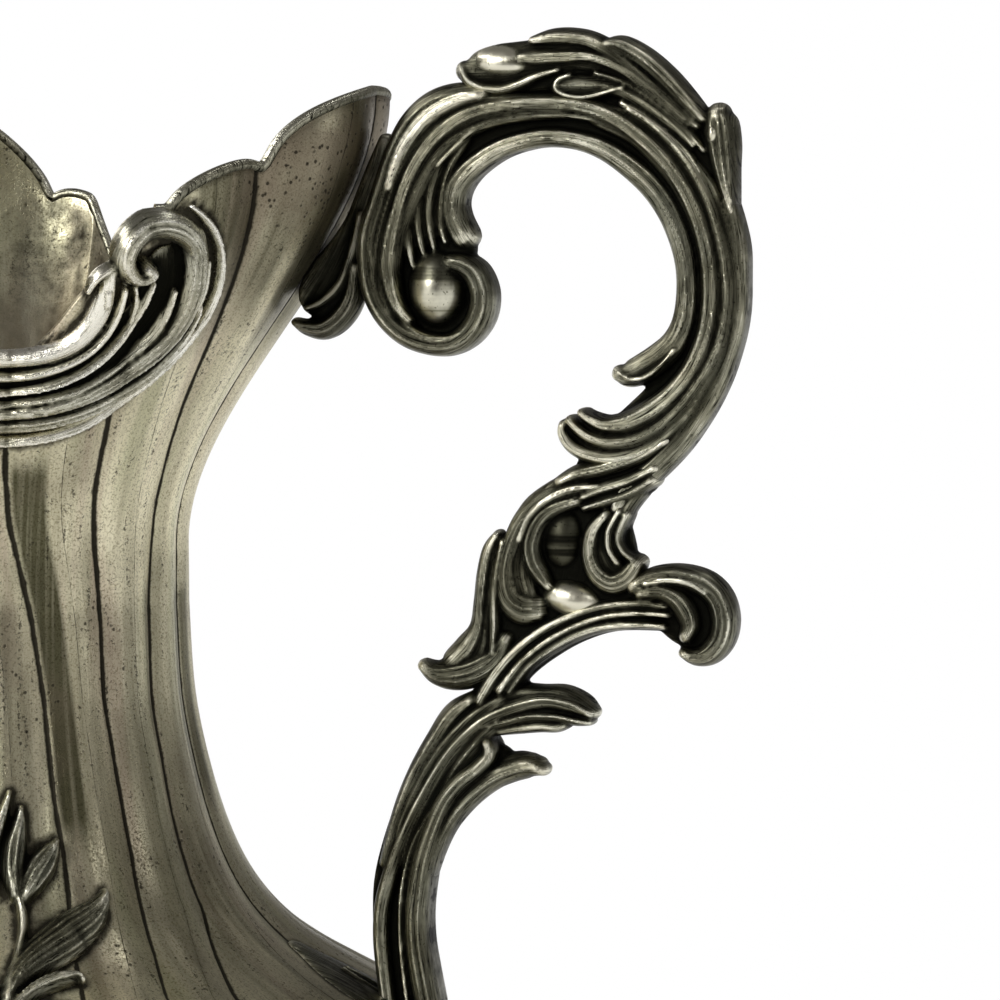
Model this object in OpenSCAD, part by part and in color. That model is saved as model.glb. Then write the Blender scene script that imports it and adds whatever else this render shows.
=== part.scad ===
// Footed ewer with a fluted pear body, a crescent-cut mouth and an open scroll handle.
// The foot rests on z = 0, the axis is Z, the handle stands out along +X and the spout along -X.

/* [Foot and stem] */
// Radius of the foot at the table
foot_r = 66; // [56:1:76]
// Height of the plain ring under the foot
foot_ring_h = 6; // [4:0.5:9]
// Width of the ring's resting face
foot_ring_w = 9; // [6:0.5:12]
// Height of the domed foot above its ring
foot_dome_h = 31; // [24:1:40]
// Radius of the stem at the top of the foot
stem_r = 15; // [12:0.5:17]
// Height of the knop between foot and body
knop_h = 13; // [10:0.5:18]
// How far the knop swells past the stem
knop_swell = 5; // [3:0.5:8]

/* [Body] */
// Radius of the body at its widest girth
belly_r = 116; // [105:1:126]
// Height of the bowl from the knop to the girth
bowl_h = 62; // [54:1:72]
// Radius of the flat where the bowl sits on the knop
bowl_flat_r = 19; // [17:0.5:22]
// Height from the girth up to the waist of the neck
shoulder_h = 119; // [110:1:130]
// Radius of the neck at its waist
neck_r = 43; // [38:0.5:48]
// Wall of the shells
wall_t = 1.8; // [1.4:0.1:2.4]
// Height of the lap inside the girth seam
lap_h = 4; // [3:0.5:6]
// Number of flutes round the body
flutes = 16; // [16]
// Depth of the creases between flutes, as a share of the radius
crease_share = 0.028; // [0.015:0.001:0.04]

/* [Mouth] */
// Rise of the rear lip above the waist
rear_lip_rise = 109; // [104:1:116]
// Rise of the spout's tip above the waist
spout_rise = 137; // [130:1:146]
// Reach of the rear lip from the axis
rear_lip_r = 90; // [86:0.5:94]
// Reach of the mouth at its sides
mouth_r = 75; // [71:0.5:78]
// Reach of the spout's tip from the axis
spout_r = 110; // [102:1:118]
// Depth of the crescent cut below the side cusps
crescent_dip = 32; // [27:0.5:37]
// Radius of the wire along the rim
rim_wire_r = 1.3; // [1:0.1:1.7]
// Height of the crescent moulding above the wall
mould_t = 3.4; // [2.5:0.1:4.5]

/* [Handle] */
// Width of the handle's scrollwork
handle_w = 88; // [80:1:96]
// Thickness of the handle's castings from side to side
handle_t = 13; // [11:0.5:15]
// Height of the crown leaf above the rear lip
crown_rise = 17.5; // [12:0.5:22]
// How far the handle's inner edge stands in from the rear lip
handle_tuck = 7.5; // [6:0.5:9]
// Thickness of the bracket behind the neck
bracket_t = 9; // [7:0.5:11]
// Thickness of the leaf under the handle's tail
pad_t = 2.4; // [1.8:0.2:3.4]

/* [Ornament] */
// Height of the flower spray above the wall
spray_t = 4; // [3:0.2:5]
// Radius of the open flower in each spray
flower_r = 12; // [10:0.5:14]

/* [Hidden] */

plate = [0.75, 0.73, 0.68];
plate_dark = [0.58, 0.56, 0.5];
cast_dark = [0.42, 0.41, 0.36];

// Solder gap between a seated piece and what carries it
gap = 0.3;
// Solder gap under the crescent moulding, whose wall is curved both ways
mould_gap = 0.55;
// Thickness of the lap ring inside the girth seam
lap_t = 1.2;
// Step used to find the slope of the wall
probe = 0.4;
probe_deg = 1.2;

foot_top_z = foot_ring_h + foot_dome_h;
bowl_z = foot_top_z + knop_h;
girth_z = bowl_z + bowl_h;
neck_z = girth_z + shoulder_h;
rear_lip_z = neck_z + rear_lip_rise;
crown_z = rear_lip_z + crown_rise;

cols_per_flute = 5;
cols = flutes * cols_per_flute;
flute_deg = 360 / flutes;
col_deg = 360 / cols;

// Radius up the bowl: share of its height, share of the way from the flat to the girth
bowl_shares = [
    [0, 0], [0.04, 0.14], [0.1, 0.3], [0.19, 0.47], [0.31, 0.635],
    [0.46, 0.79], [0.62, 0.905], [0.8, 0.977], [1, 1]
];
// Radius over the shoulder: share of its height, share of the way from the waist to the girth
shoulder_shares = [
    [0.07, 0.984], [0.134, 0.938], [0.182, 0.878], [0.218, 0.808], [0.247, 0.735], [0.274, 0.657],
    [0.308, 0.555], [0.35, 0.435], [0.4, 0.32], [0.47, 0.215], [0.56, 0.135], [0.68, 0.07],
    [0.83, 0.018], [1, 0]
];

// Point on a smooth curve through a table of points, between entries i and i + 1
function curve_at(t, i, u) =
    let (a = t[max(i - 1, 0)], b = t[i], c = t[i + 1], d = t[min(i + 2, len(t) - 1)])
    (2 * b + (c - a) * u + (2 * a - 5 * b + 4 * c - d) * u * u + (3 * b - a - 3 * c + d) * u * u * u) / 2;
function curve(t, steps) = [
    for (i = [0:len(t) - 2]) for (k = [0:steps - 1]) curve_at(t, i, k / steps),
    t[len(t) - 1]
];
function unit(v) = v / norm(v);
function clamp(v) = min(max(v, 0), 1);
function smooth(v) = v * v * (3 - 2 * v);
function backwards(t) = [for (i = [len(t) - 1:-1:0]) t[i]];

// Heights and radii of the body from its flat to the waist
body_knots = concat(
    [for (s = bowl_shares) [bowl_z + s[0] * bowl_h, bowl_flat_r + s[1] * (belly_r - bowl_flat_r)]],
    [for (s = shoulder_shares) [girth_z + s[0] * shoulder_h, neck_r + s[1] * (belly_r - neck_r)]]
);
girth_knot = len(bowl_shares) - 1;
body_steps = 1;
body_rows = curve(body_knots, body_steps);
bowl_rows = [for (i = [0:girth_knot * body_steps]) body_rows[i]];
shoulder_rows = [for (i = [girth_knot * body_steps:len(body_rows) - 1]) body_rows[i]];
shoulder_by_r = [for (row = backwards(shoulder_rows)) [row[1], row[0]]];

// Plan of the flare: how strongly the rear lip and the spout pull out of the round mouth
rear_pull_power = 14;
spout_pull_power = 3;
flare_start_share = 0.12;
function rear_pull(phi) = pow(max(cos(phi), 0), rear_pull_power);
function spout_pull(phi) = pow(max(-cos(phi), 0), spout_pull_power);
function flare_r(phi) =
    mouth_r + (rear_lip_r - mouth_r) * rear_pull(phi) + (spout_r - mouth_r) * spout_pull(phi);
// Height at which the flare ends: at the sides a share of the rear lip's rise
flare_share = 0.82;
rear_lift_power = 8;
spout_lift_power = 2;
function flare_h(phi) =
    flare_share * rear_lip_rise
    + (1 - flare_share) * rear_lip_rise * pow(max(cos(phi), 0), rear_lift_power)
    + (spout_rise - flare_share * rear_lip_rise) * pow(max(-cos(phi), 0), spout_lift_power);
function round_r(z, phi) =
    z <= neck_z
        ? lookup(z, body_rows)
        : let (
              t = (z - neck_z) / flare_h(phi),
              u = clamp((t - flare_start_share) / (1 - flare_start_share))
          )
          neck_r + (flare_r(phi) - neck_r) * smooth(u);
crease_power = 0.6;
function crease(phi) = 1 - pow(abs(sin(phi * flutes / 2)), crease_power);
function wall_r(z, phi) = round_r(z, phi) * (1 - crease_share * crease(phi));
function polar(r, phi, z) = [r * cos(phi), -r * sin(phi), z];
function wall_point(z, phi) = polar(wall_r(z, phi), phi, z);
function wall_normal(z, phi) =
    let (
        up = wall_point(z + probe, phi) - wall_point(z - probe, phi),
        around = wall_point(z, phi - probe_deg) - wall_point(z, phi + probe_deg)
    )
    unit(cross(around, up));
function on_wall(z, phi, lift) = wall_point(z, phi) + wall_normal(z, phi) * lift;
// The point on the wall beside any point near it
function seated(p, lift) = on_wall(p[2], atan2(-p[1], p[0]), lift);

// Height of the rim round the mouth, with cusps where its scallops meet
cusp_a = flute_deg;
cusp_b = 40.5;
cusp_c = 99;
cusp_d = cusp_c + (180 - cusp_c) / 3;
crescent_mid = (cusp_b + cusp_c) / 2;
crescent_half = 21;
cusp_a_share = 0.84;
cusp_b_share = 0.775;
cusp_d_share = 0.79;
rear_scallop_share = 0.04;
side_scallop_share = 0.077;
cusp_a_z = neck_z + cusp_a_share * rear_lip_rise;
cusp_b_z = neck_z + cusp_b_share * rear_lip_rise;
cusp_d_z = neck_z + cusp_d_share * spout_rise;
rear_scallop_rise = rear_scallop_share * rear_lip_rise;
side_scallop_rise = side_scallop_share * rear_lip_rise;
spout_rim_power = 1.8;
function hump(u) = sqrt(max(1 - (2 * u - 1) * (2 * u - 1), 0));
function scallop(phi, from, to, z0, z1, rise) =
    let (u = (phi - from) / (to - from))
    z0 + (z1 - z0) * u + rise * hump(u);
function half_rim_z(phi) =
    phi < cusp_a ? cusp_a_z + (rear_lip_z - cusp_a_z) * sqrt(1 - pow(phi / cusp_a, 2))
    : phi < cusp_b ? scallop(phi, cusp_a, cusp_b, cusp_a_z, cusp_b_z, rear_scallop_rise)
    : phi < cusp_c ? cusp_b_z - crescent_dip * max(1 - pow((phi - crescent_mid) / crescent_half, 2), 0)
    : phi < cusp_d ? scallop(phi, cusp_c, cusp_d, cusp_b_z, cusp_d_z, side_scallop_rise)
    : let (fall = pow((180 - phi) / (180 - cusp_d), spout_rim_power))
      cusp_d_z + (neck_z + spout_rise - cusp_d_z) * (1 - fall);
function rim_z(phi) = half_rim_z(abs(phi > 180 ? phi - 360 : phi));

// A closed skin over rings of points; ends are closed by fans, or the last ring joins the first
module skin(rings, closed = false) {
    n = len(rings[0]);
    m = len(rings);
    mid0 = [for (k = [0:2]) [for (p = rings[0]) p[k]] * [for (p = rings[0]) 1] / n];
    mid1 = [for (k = [0:2]) [for (p = rings[m - 1]) p[k]] * [for (p = rings[0]) 1] / n];
    points = concat([for (r = rings) for (p = r) p], closed ? [] : [mid0, mid1]);
    sides = [
        for (i = [0:m - (closed ? 1 : 2)]) for (j = [0:n - 1])
            let (
                a = i * n + j,
                b = i * n + (j + 1) % n,
                c = ((i + 1) % m) * n + (j + 1) % n,
                d = ((i + 1) % m) * n + j
            )
            each [[a, b, c], [a, c, d]]
    ];
    caps = closed ? [] : [
        for (j = [0:n - 1]) each [
            [m * n, (j + 1) % n, j],
            [m * n + 1, (m - 1) * n + j, (m - 1) * n + (j + 1) % n]
        ]
    ];
    polyhedron(points = points, faces = concat(sides, caps), convexity = 6);
}

// Rings of the wall: a level one moves straight in, the others move along the wall's normal
function level_ring(z, inset) = [
    for (i = [0:cols - 1]) let (phi = i * col_deg) polar(wall_r(z, phi) - inset, phi, z)
];
function wall_ring(z, inset) = [for (i = [0:cols - 1]) on_wall(z, i * col_deg, -inset)];
function rim_ring(share, inset) = [
    for (i = [0:cols - 1])
        let (phi = i * col_deg, z = neck_z + share * (rim_z(phi) - neck_z))
        inset == 0
            ? wall_point(z, phi)
            : let (p = on_wall(z, phi, -inset)) [p[0], p[1], share == 1 ? z : p[2]]
];

// Shares of the flare's height at which the wall has a row of points
flare_rows_shares = [0.1, 0.2, 0.3, 0.4, 0.5, 0.61, 0.73, 0.86, 1];
inner_flare_rows_shares = [1, 0.8, 0.6, 0.38, 0.18];

// Outer profile of the foot's ring: shares of its height, in from the rim and up
foot_ring_shares = [[0.15, 0], [0, 0.3], [0, 0.7], [0.2, 1]];
foot_lip_r = foot_r - foot_ring_shares[3][0] * foot_ring_h;

module foot_ring() {
    inner_r = foot_r - foot_ring_w;
    color(plate_dark)
        rotate_extrude($fn = 96)
            polygon(concat(
                [[inner_r, 0]],
                [for (s = foot_ring_shares) [foot_r - s[0] * foot_ring_h, s[1] * foot_ring_h]],
                [[inner_r, foot_ring_h]]
            ));
}

// Height and radius up the domed foot: shares of its height and of the way from stem to rim
foot_dome_shares = [[0, 0.97], [0.1, 0.95], [0.26, 0.8], [0.42, 0.56], [0.6, 0.3], [0.78, 0.12], [1, 0]];
foot_rows = [
    for (s = foot_dome_shares) [foot_ring_h + s[0] * foot_dome_h, stem_r + s[1] * (foot_lip_r - stem_r)]
];
foot_crease_share = 0.06;
foot_wall_share = 1.6;
function foot_r_at(row, phi) =
    let (swell = clamp((row[1] - stem_r) / (foot_r - stem_r)))
    row[1] * (1 - foot_crease_share * swell * crease(phi + flute_deg / 2));
function foot_ring_of(row, inset) = [
    for (i = [0:cols - 1]) polar(foot_r_at(row, i * col_deg) - inset, i * col_deg, row[0])
];

module foot_dome() {
    last = len(foot_rows) - 1;
    outer = [for (row = foot_rows) foot_ring_of(row, 0)];
    drop = wall_t * foot_wall_share;
    inner = [for (i = [last - 2:-2:0]) foot_ring_of(foot_rows[i], drop)];
    color(plate)
        skin(concat(outer, [foot_ring_of(foot_rows[last], drop)], inner), closed = true);
}

knop_neck_share = 0.16;
knop_sweep_deg = 60;
module knop() {
    mid = foot_top_z + knop_h / 2;
    neck_h = knop_h * knop_neck_share;
    round_h = knop_h / 2 - neck_h;
    color(plate_dark)
        rotate_extrude($fn = 72)
            polygon(concat(
                [[0, foot_top_z], [stem_r, foot_top_z], [stem_r, foot_top_z + neck_h]],
                [
                    for (a = [-knop_sweep_deg:20:knop_sweep_deg]) [
                        stem_r - neck_h / 2 + (knop_swell + neck_h / 2) * cos(a),
                        mid + round_h * sin(a) / sin(knop_sweep_deg)
                    ]
                ],
                [[stem_r, bowl_z - neck_h], [stem_r, bowl_z], [0, bowl_z]]
            ));
}

// How far in from the flat's edge the bowl's floor stays full, as a share of the flat's radius
bowl_floor_share = 0.15;
module bowl_shell() {
    last = len(bowl_rows) - 1;
    outer = [for (row = bowl_rows) level_ring(row[0], 0)];
    lap_in = wall_t + 2 * gap;
    lap = [
        level_ring(girth_z, lap_in), wall_ring(girth_z + lap_h, lap_in),
        wall_ring(girth_z + lap_h, lap_in + lap_t), level_ring(girth_z - lap_h, lap_in + lap_t)
    ];
    inner = [for (i = [last - 2:-2:2]) wall_ring(bowl_rows[i][0], wall_t)];
    floor_ring = level_ring(bowl_z, bowl_flat_r * bowl_floor_share);
    color(plate)
        skin(concat(outer, lap, inner, [[for (p = floor_ring) p + [0, 0, wall_t]]]));
}

module neck_shell() {
    last = len(shoulder_rows) - 1;
    outer = [for (row = shoulder_rows) level_ring(row[0], 0)];
    flare = [for (s = flare_rows_shares) rim_ring(s, 0)];
    inner_flare = [for (s = inner_flare_rows_shares) rim_ring(s, wall_t)];
    inner = [for (i = [last:-2:2]) wall_ring(shoulder_rows[i][0], wall_t)];
    color(plate)
        skin(concat(outer, flare, inner_flare, inner, [level_ring(girth_z, wall_t)]), closed = true);
}

// A round wire lying on the rim from one angle to another, mitred where the rim turns
wire_sides = 8;
module rim_wire(from, to) {
    steps = round((to - from) / col_deg);
    step = (to - from) / steps;
    rim = [for (i = [0:steps]) let (phi = from + i * step) on_wall(rim_z(phi), phi, -wall_t / 2)];
    ups = [
        for (i = [0:steps - 1])
            let (
                phi = from + (i + 0.5) * step,
                z = rim_z(phi),
                t = unit(rim[i + 1] - rim[i]),
                m = unit(wall_point(z, phi) - wall_point(z - probe, phi))
            )
            unit(m - (m * t) * t)
    ];
    skin([
        for (i = [0:steps])
            let (
                before = ups[max(i - 1, 0)],
                up = unit(before + ups[min(i, steps - 1)]),
                centre = rim[i] + up * (gap + rim_wire_r) / (up * before),
                t = unit(rim[min(i + 1, steps)] - rim[max(i - 1, 0)]),
                out = unit(cross(up, t)),
                across = cross(t, out)
            )
            [
                for (k = [0:wire_sides - 1])
                    let (a = k * 360 / wire_sides)
                    centre + rim_wire_r * (cos(a) * out - sin(a) * across)
            ]
    ]);
}

module rear_rim_wire() {
    color(plate) rim_wire(-cusp_b + col_deg / 2, cusp_b - col_deg / 2);
}

module spout_rim_wire() {
    color(plate) rim_wire(cusp_c + col_deg / 2, 360 - cusp_c - col_deg / 2);
}

// A raised stroke laid on the wall. Each station is [angle, height, half width, rise];
// the crest table runs across it from -1 to 1 in shares of the half width and the rise
flat_crest_shares = [[-1, 0.25], [-0.85, 0.75], [-0.5, 1], [0, 1], [0.5, 1], [0.85, 0.75], [1, 0.25]];
ridged_crest_shares = [
    [-1, 0.3], [-0.85, 0.8], [-0.55, 0.95], [-0.25, 0.5], [0.1, 0.9], [0.4, 0.6], [0.75, 0.75], [1, 0.25]
];
round_crest_shares = [[-1, 0.2], [-0.7, 0.75], [0, 1], [0.7, 0.75], [1, 0.2]];
leaf_crest_shares = [[-1, 0.25], [-0.35, 0.55], [0, 1], [0.35, 0.55], [1, 0.25]];

base_shares = [1, 0, -1];
wide_base_shares = [1, 0.65, 0.3, 0, -0.3, -0.65, -1];

module wall_stroke(stations, crest, base = base_shares, seat = gap, steps = 2) {
    line = curve(stations, steps);
    last = len(line) - 1;
    mids = [for (s = line) wall_point(s[1], s[0])];
    skin([
        for (i = [0:last])
            let (
                n = wall_normal(line[i][1], line[i][0]),
                t = unit(mids[min(i + 1, last)] - mids[max(i - 1, 0)]),
                side = unit(cross(n, t)) * line[i][2]
            )
            concat(
                [for (c = crest) seated(mids[i] + side * c[0], seat + c[1] * line[i][3])],
                [for (a = base) seated(mids[i] + side * a, seat)]
            )
    ]);
}

// Crescent moulding: angle, share of the rear lip's rise, shares of the band's half width and rise
mould_half_w = 11;
scroll_half_shares = [
    [49.5, 0.762, 0.2, 0.6], [49.4, 0.74, 0.6, 1.25], [49, 0.69, 0.8, 1.5], [48.2, 0.62, 1, 1],
    [49, 0.545, 0.9, 1], [53.2, 0.48, 0.75, 1], [61, 0.437, 0.64, 1], [crescent_mid, 0.424, 0.62, 1]
];
bead_half_shares = [
    [42.6, 0.762, 0.12, 0.6], [38, 0.735, 0.2, 0.8], [33.6, 0.68, 0.25, 0.9], [31.4, 0.6, 0.28, 1],
    [34, 0.52, 0.28, 1], [41, 0.44, 0.28, 1], [51, 0.37, 0.28, 1], [crescent_mid, 0.325, 0.28, 1]
];
function across_crescent(s) = [2 * crescent_mid - s[0], s[1], s[2], s[3]];
function mould_stations(half) =
    let (other = [for (i = [len(half) - 2:-1:0]) across_crescent(half[i])])
    [
        for (s = concat(half, other))
            [s[0], neck_z + s[1] * rear_lip_rise, s[2] * mould_half_w, s[3] * mould_t]
    ];

module mouth_scroll_near() {
    color(plate_dark)
        wall_stroke(mould_stations(scroll_half_shares), ridged_crest_shares, seat = mould_gap);
}

module mouth_scroll_far() {
    mirror([0, 1, 0]) mouth_scroll_near();
}

module mouth_bead_near() {
    color(plate_dark)
        wall_stroke(mould_stations(bead_half_shares), round_crest_shares, seat = mould_gap);
}

module mouth_bead_far() {
    mirror([0, 1, 0]) mouth_bead_near();
}

// The handle is drawn on a grid that hangs from the crown and ends where the tail lands on the shoulder.
// Its tables hold shares of that grid: out from the inner edge, and down from the crown
handle_w_share = 0.391;
tail_x_share = 0.05;
tail_drop_share = 0.985;
handle_x = rear_lip_r - handle_tuck;
grid_x = handle_w / handle_w_share;
tail_x = handle_x + tail_x_share * grid_x;
tail_z = lookup(tail_x, shoulder_by_r);
grid_z = (crown_z - tail_z) / tail_drop_share;
half_t = handle_t / 2;
function on_grid(s) = [handle_x + s[0] * grid_x, 0, crown_z - s[1] * grid_z];

// Half sections of the castings, from the inner edge to the outer: shares of half width and half thickness
ribbed_section_shares = [
    [-1, 0], [-0.95, 0.5], [-0.78, 0.74], [-0.58, 0.62], [-0.48, 0.46], [-0.3, 0.8], [0.08, 1],
    [0.42, 0.84], [0.56, 0.5], [0.7, 0.66], [0.92, 0.5], [1, 0]
];
bead_section_shares = [[-1, 0], [-0.75, 0.66], [0, 1], [0.75, 0.66], [1, 0]];
function whole_section(half) = concat(half, [for (i = [len(half) - 2:-1:1]) [half[i][0], -half[i][1]]]);

// Stations of a casting on the handle's plane: place, half width along the edge normal, half thickness
function frames(table, steps) =
    let (
        line = curve([for (s = table) concat(on_grid(s), [s[2] * grid_z, s[3] * half_t])], steps),
        last = len(line) - 1
    )
    [
        for (i = [0:last])
            let (
                q = line[min(i + 1, last)] - line[max(i - 1, 0)],
                t = unit([q[0], 0, q[2]])
            )
            [[line[i][0], 0, line[i][2]], [-t[2], 0, t[0]], line[i][3], line[i][4]]
    ];
function section_ring(f, section) = [for (s = section) f[0] + f[1] * s[0] * f[2] - [0, s[1] * f[3], 0]];
module casting(table, half_section, steps = 2) {
    section = whole_section(half_section);
    skin([for (f = frames(table, steps)) section_ring(f, section)]);
}

// A tapering leaf built as a chain of thin lens-shaped plates
plate_t = 0.2;
module leaf_chain(table, steps = 1, sides = 10) {
    line = frames(table, steps);
    for (i = [0:len(line) - 2])
        hull() for (f = [line[i], line[i + 1]])
            multmatrix([
                [f[1][0], 0, f[1][2], f[0][0]],
                [0, 1, 0, 0],
                [f[1][2], 0, -f[1][0], f[0][2]],
                [0, 0, 0, 1]
            ])
                linear_extrude(height = plate_t, center = true)
                    scale([f[2], f[3]]) circle(r = 1, $fn = sides);
}

// Upper scroll, from its foot in the knot over the arch to the hook above the ball
arch_shares = [
    [0.241, 0.464, 0.024, 0.9], [0.277, 0.428, 0.03, 1], [0.318, 0.382, 0.033, 1], [0.343, 0.328, 0.036, 1],
    [0.354, 0.271, 0.036, 1], [0.35, 0.213, 0.036, 1], [0.33, 0.165, 0.034, 1], [0.291, 0.131, 0.028, 1],
    [0.246, 0.106, 0.026, 1], [0.185, 0.095, 0.026, 1],
    [0.133, 0.106, 0.029, 1], [0.095, 0.136, 0.031, 0.95],
    [0.084, 0.174, 0.027, 0.85], [0.091, 0.204, 0.02, 0.75], [0.104, 0.22, 0.013, 0.7]
];
// Outer band, from under the crown leaf down the inner side and round the ball
band_shares = [
    [0.093, 0.076, 0.01, 0.8], [0.07, 0.089, 0.012, 0.85],
    [0.045, 0.117, 0.014, 0.9], [0.032, 0.158, 0.016, 1],
    [0.021, 0.2, 0.018, 1], [0.019, 0.238, 0.02, 1], [0.026, 0.276, 0.019, 1], [0.045, 0.303, 0.016, 1],
    [0.074, 0.315, 0.013, 1], [0.104, 0.307, 0.012, 1], [0.124, 0.284, 0.012, 1], [0.124, 0.256, 0.012, 1],
    [0.108, 0.24, 0.008, 0.8]
];
ball_share = [0.079, 0.261, 0.026];
fill_shares = [
    [0.055, 0.115], [0.08, 0.13], [0.1, 0.2], [0.118, 0.25],
    [0.118, 0.285], [0.1, 0.305], [0.07, 0.31], [0.03, 0.27],
    [0.028, 0.2], [0.04, 0.15]
];
fill_t_share = 0.5;
recess_leaf_shares = [
    [[0.05, 0.15, 0.006, 0.7], [0.047, 0.19, 0.008, 0.8], [0.052, 0.235, 0.006, 0.7]],
    [[0.066, 0.146, 0.006, 0.7], [0.062, 0.185, 0.008, 0.85], [0.068, 0.228, 0.006, 0.7]],
    [[0.083, 0.138, 0.005, 0.7], [0.074, 0.175, 0.007, 0.85], [0.08, 0.22, 0.006, 0.7]]
];
small_hook_shares = [
    [0.325, 0.3, 0.012, 0.6], [0.305, 0.325, 0.016, 0.75],
    [0.28, 0.342, 0.016, 0.7], [0.264, 0.347, 0.013, 0.6],
    [0.256, 0.34, 0.006, 0.4]
];
large_hook_shares = [
    [0.31, 0.37, 0.018, 0.7], [0.285, 0.398, 0.024, 0.8],
    [0.25, 0.412, 0.026, 0.8], [0.222, 0.413, 0.023, 0.7],
    [0.208, 0.401, 0.014, 0.5], [0.211, 0.392, 0.006, 0.35]
];

module handle_upper_scroll() {
    ball = on_grid(ball_share);
    color(cast_dark) union() {
        casting(arch_shares, ribbed_section_shares);
        casting(band_shares, bead_section_shares);
        translate(ball) sphere(r = ball_share[2] * grid_z, $fn = 24);
        rotate([90, 0, 0])
            linear_extrude(height = handle_t * fill_t_share, center = true)
                polygon([for (s = fill_shares) let (p = on_grid(s)) [p[0], p[2]]]);
        for (t = recess_leaf_shares) leaf_chain(t);
        leaf_chain(small_hook_shares);
        leaf_chain(large_hook_shares);
    }
}

// Crown leaf on the arch: its underside follows the arch's outer edge
crown_steps = 2;
crown_from = 5 * crown_steps;
crown_to = 10 * crown_steps;
// Rise of the leaf above the arch at each step, in shares of the grid
crown_rise_shares = [0.004, 0.016, 0.032, 0.05, 0.052, 0.058, 0.066, 0.068, 0.064, 0.056, 0.042];
// Section of the leaf: shares of its rise and of its half thickness
crown_section_shares = [
    [0, -0.62], [0.25, -0.9], [0.6, -0.78], [0.95, -0.35], [1, 0],
    [0.95, 0.35], [0.6, 0.78], [0.25, 0.9], [0, 0.62]
];
crown_t_share = 0.92;

module handle_crown_leaf() {
    edge = frames(arch_shares, crown_steps);
    color(cast_dark)
        skin([
            for (i = [crown_from:crown_to])
                let (
                    f = edge[i],
                    h = crown_rise_shares[i - crown_from] * grid_z,
                    foot = f[0] - f[1] * (f[2] + gap),
                    half = half_t * crown_t_share
                )
                [for (s = crown_section_shares) foot - f[1] * s[0] * h - [0, s[1] * half, 0]]
        ]);
}

// Knot of leaves between the two scrolls
knot_stem_shares = [
    [0.232, 0.484, 0.024, 0.92], [0.226, 0.502, 0.025, 0.95],
    [0.22, 0.535, 0.028, 0.9], [0.212, 0.57, 0.026, 0.8]
];
knot_bead_shares = [
    [0.192, 0.471, 0.009, 0.7], [0.168, 0.485, 0.012, 0.8],
    [0.148, 0.52, 0.013, 0.8], [0.144, 0.56, 0.012, 0.7],
    [0.154, 0.592, 0.009, 0.5]
];
knot_leaf_shares = [
    [0.19, 0.465, 0.012, 0.6], [0.174, 0.49, 0.018, 0.7],
    [0.178, 0.528, 0.02, 0.75], [0.196, 0.556, 0.014, 0.6]
];
knot_loop_shares = [
    [0.24, 0.492, 0.014, 0.7], [0.238, 0.53, 0.016, 0.8],
    [0.252, 0.556, 0.014, 0.75], [0.272, 0.552, 0.008, 0.5]
];
knot_boss_share = [0.2, 0.511, 0.0144];
knot_boss_stretch = 1.6;
side_leaf_shares = [
    [0.134, 0.51, 0.006, 0.4], [0.128, 0.545, 0.01, 0.6],
    [0.126, 0.58, 0.012, 0.7], [0.119, 0.608, 0.013, 0.7],
    [0.103, 0.627, 0.014, 0.7], [0.08, 0.635, 0.012, 0.6], [0.064, 0.634, 0.006, 0.4]
];
// Outline of the knot's web down its inner side and up its outer side;
// between them it follows the tail's upper edge
web_inner_shares = [
    [0.22, 0.474], [0.197, 0.47], [0.171, 0.482], [0.151, 0.504],
    [0.141, 0.534], [0.133, 0.574], [0.121, 0.61]
];
web_outer_shares = [[0.262, 0.568], [0.256, 0.55], [0.25, 0.52], [0.252, 0.495]];
web_tail_steps = [3, 9];

module handle_knot() {
    tail = frames(tail_shares, 2);
    section = whole_section(bead_section_shares);
    // the stem starts flat against the arch's foot
    foot = frames(arch_shares, 2)[0];
    seat = [foot[0] - [foot[1][2], 0, -foot[1][0]] * gap, -foot[1], foot[2], foot[3]];
    outline = concat(
        [for (s = web_inner_shares) on_grid(s)],
        [
            for (i = [web_tail_steps[1]:-1:web_tail_steps[0]])
                tail[i][0] - tail[i][1] * (tail[i][2] + gap)
        ],
        [for (s = web_outer_shares) on_grid(s)]
    );
    color(cast_dark) union() {
        rotate([90, 0, 0])
            linear_extrude(height = handle_t * fill_t_share, center = true)
                polygon([for (p = outline) [p[0], p[2]]]);
        skin([for (f = concat([seat], frames(knot_stem_shares, 2))) section_ring(f, section)]);
        leaf_chain(knot_bead_shares);
        leaf_chain(knot_leaf_shares);
        leaf_chain(knot_loop_shares);
        leaf_chain(side_leaf_shares);
        translate(on_grid(knot_boss_share))
            scale([1, knot_boss_stretch, knot_boss_stretch])
                sphere(r = knot_boss_share[2] * grid_z, $fn = 20);
    }
}

// Lower scroll, from the spur over the small arch and down the tail to the shoulder
tail_shares = [
    [0.292, 0.59, 0.014, 0.8], [0.254, 0.59, 0.014, 0.85],
    [0.219, 0.6, 0.015, 0.9], [0.184, 0.622, 0.018, 0.95],
    [0.149, 0.652, 0.023, 1], [0.118, 0.686, 0.029, 1], [0.096, 0.722, 0.033, 1], [0.08, 0.76, 0.034, 1],
    [0.065, 0.796, 0.033, 1], [0.05, 0.836, 0.029, 1], [0.042, 0.876, 0.027, 1], [0.041, 0.916, 0.027, 1],
    [0.045, 0.95, 0.027, 1]
];
spur_shares = [
    [0.285, 0.578, 0.014, 0.8], [0.302, 0.556, 0.013, 0.8],
    [0.329, 0.553, 0.015, 0.9], [0.352, 0.568, 0.019, 1],
    [0.358, 0.594, 0.022, 1], [0.346, 0.617, 0.02, 0.9],
    [0.328, 0.624, 0.012, 0.7], [0.317, 0.614, 0.006, 0.6]
];
spur_eye_share = [0.326, 0.592, 0.022];
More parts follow.
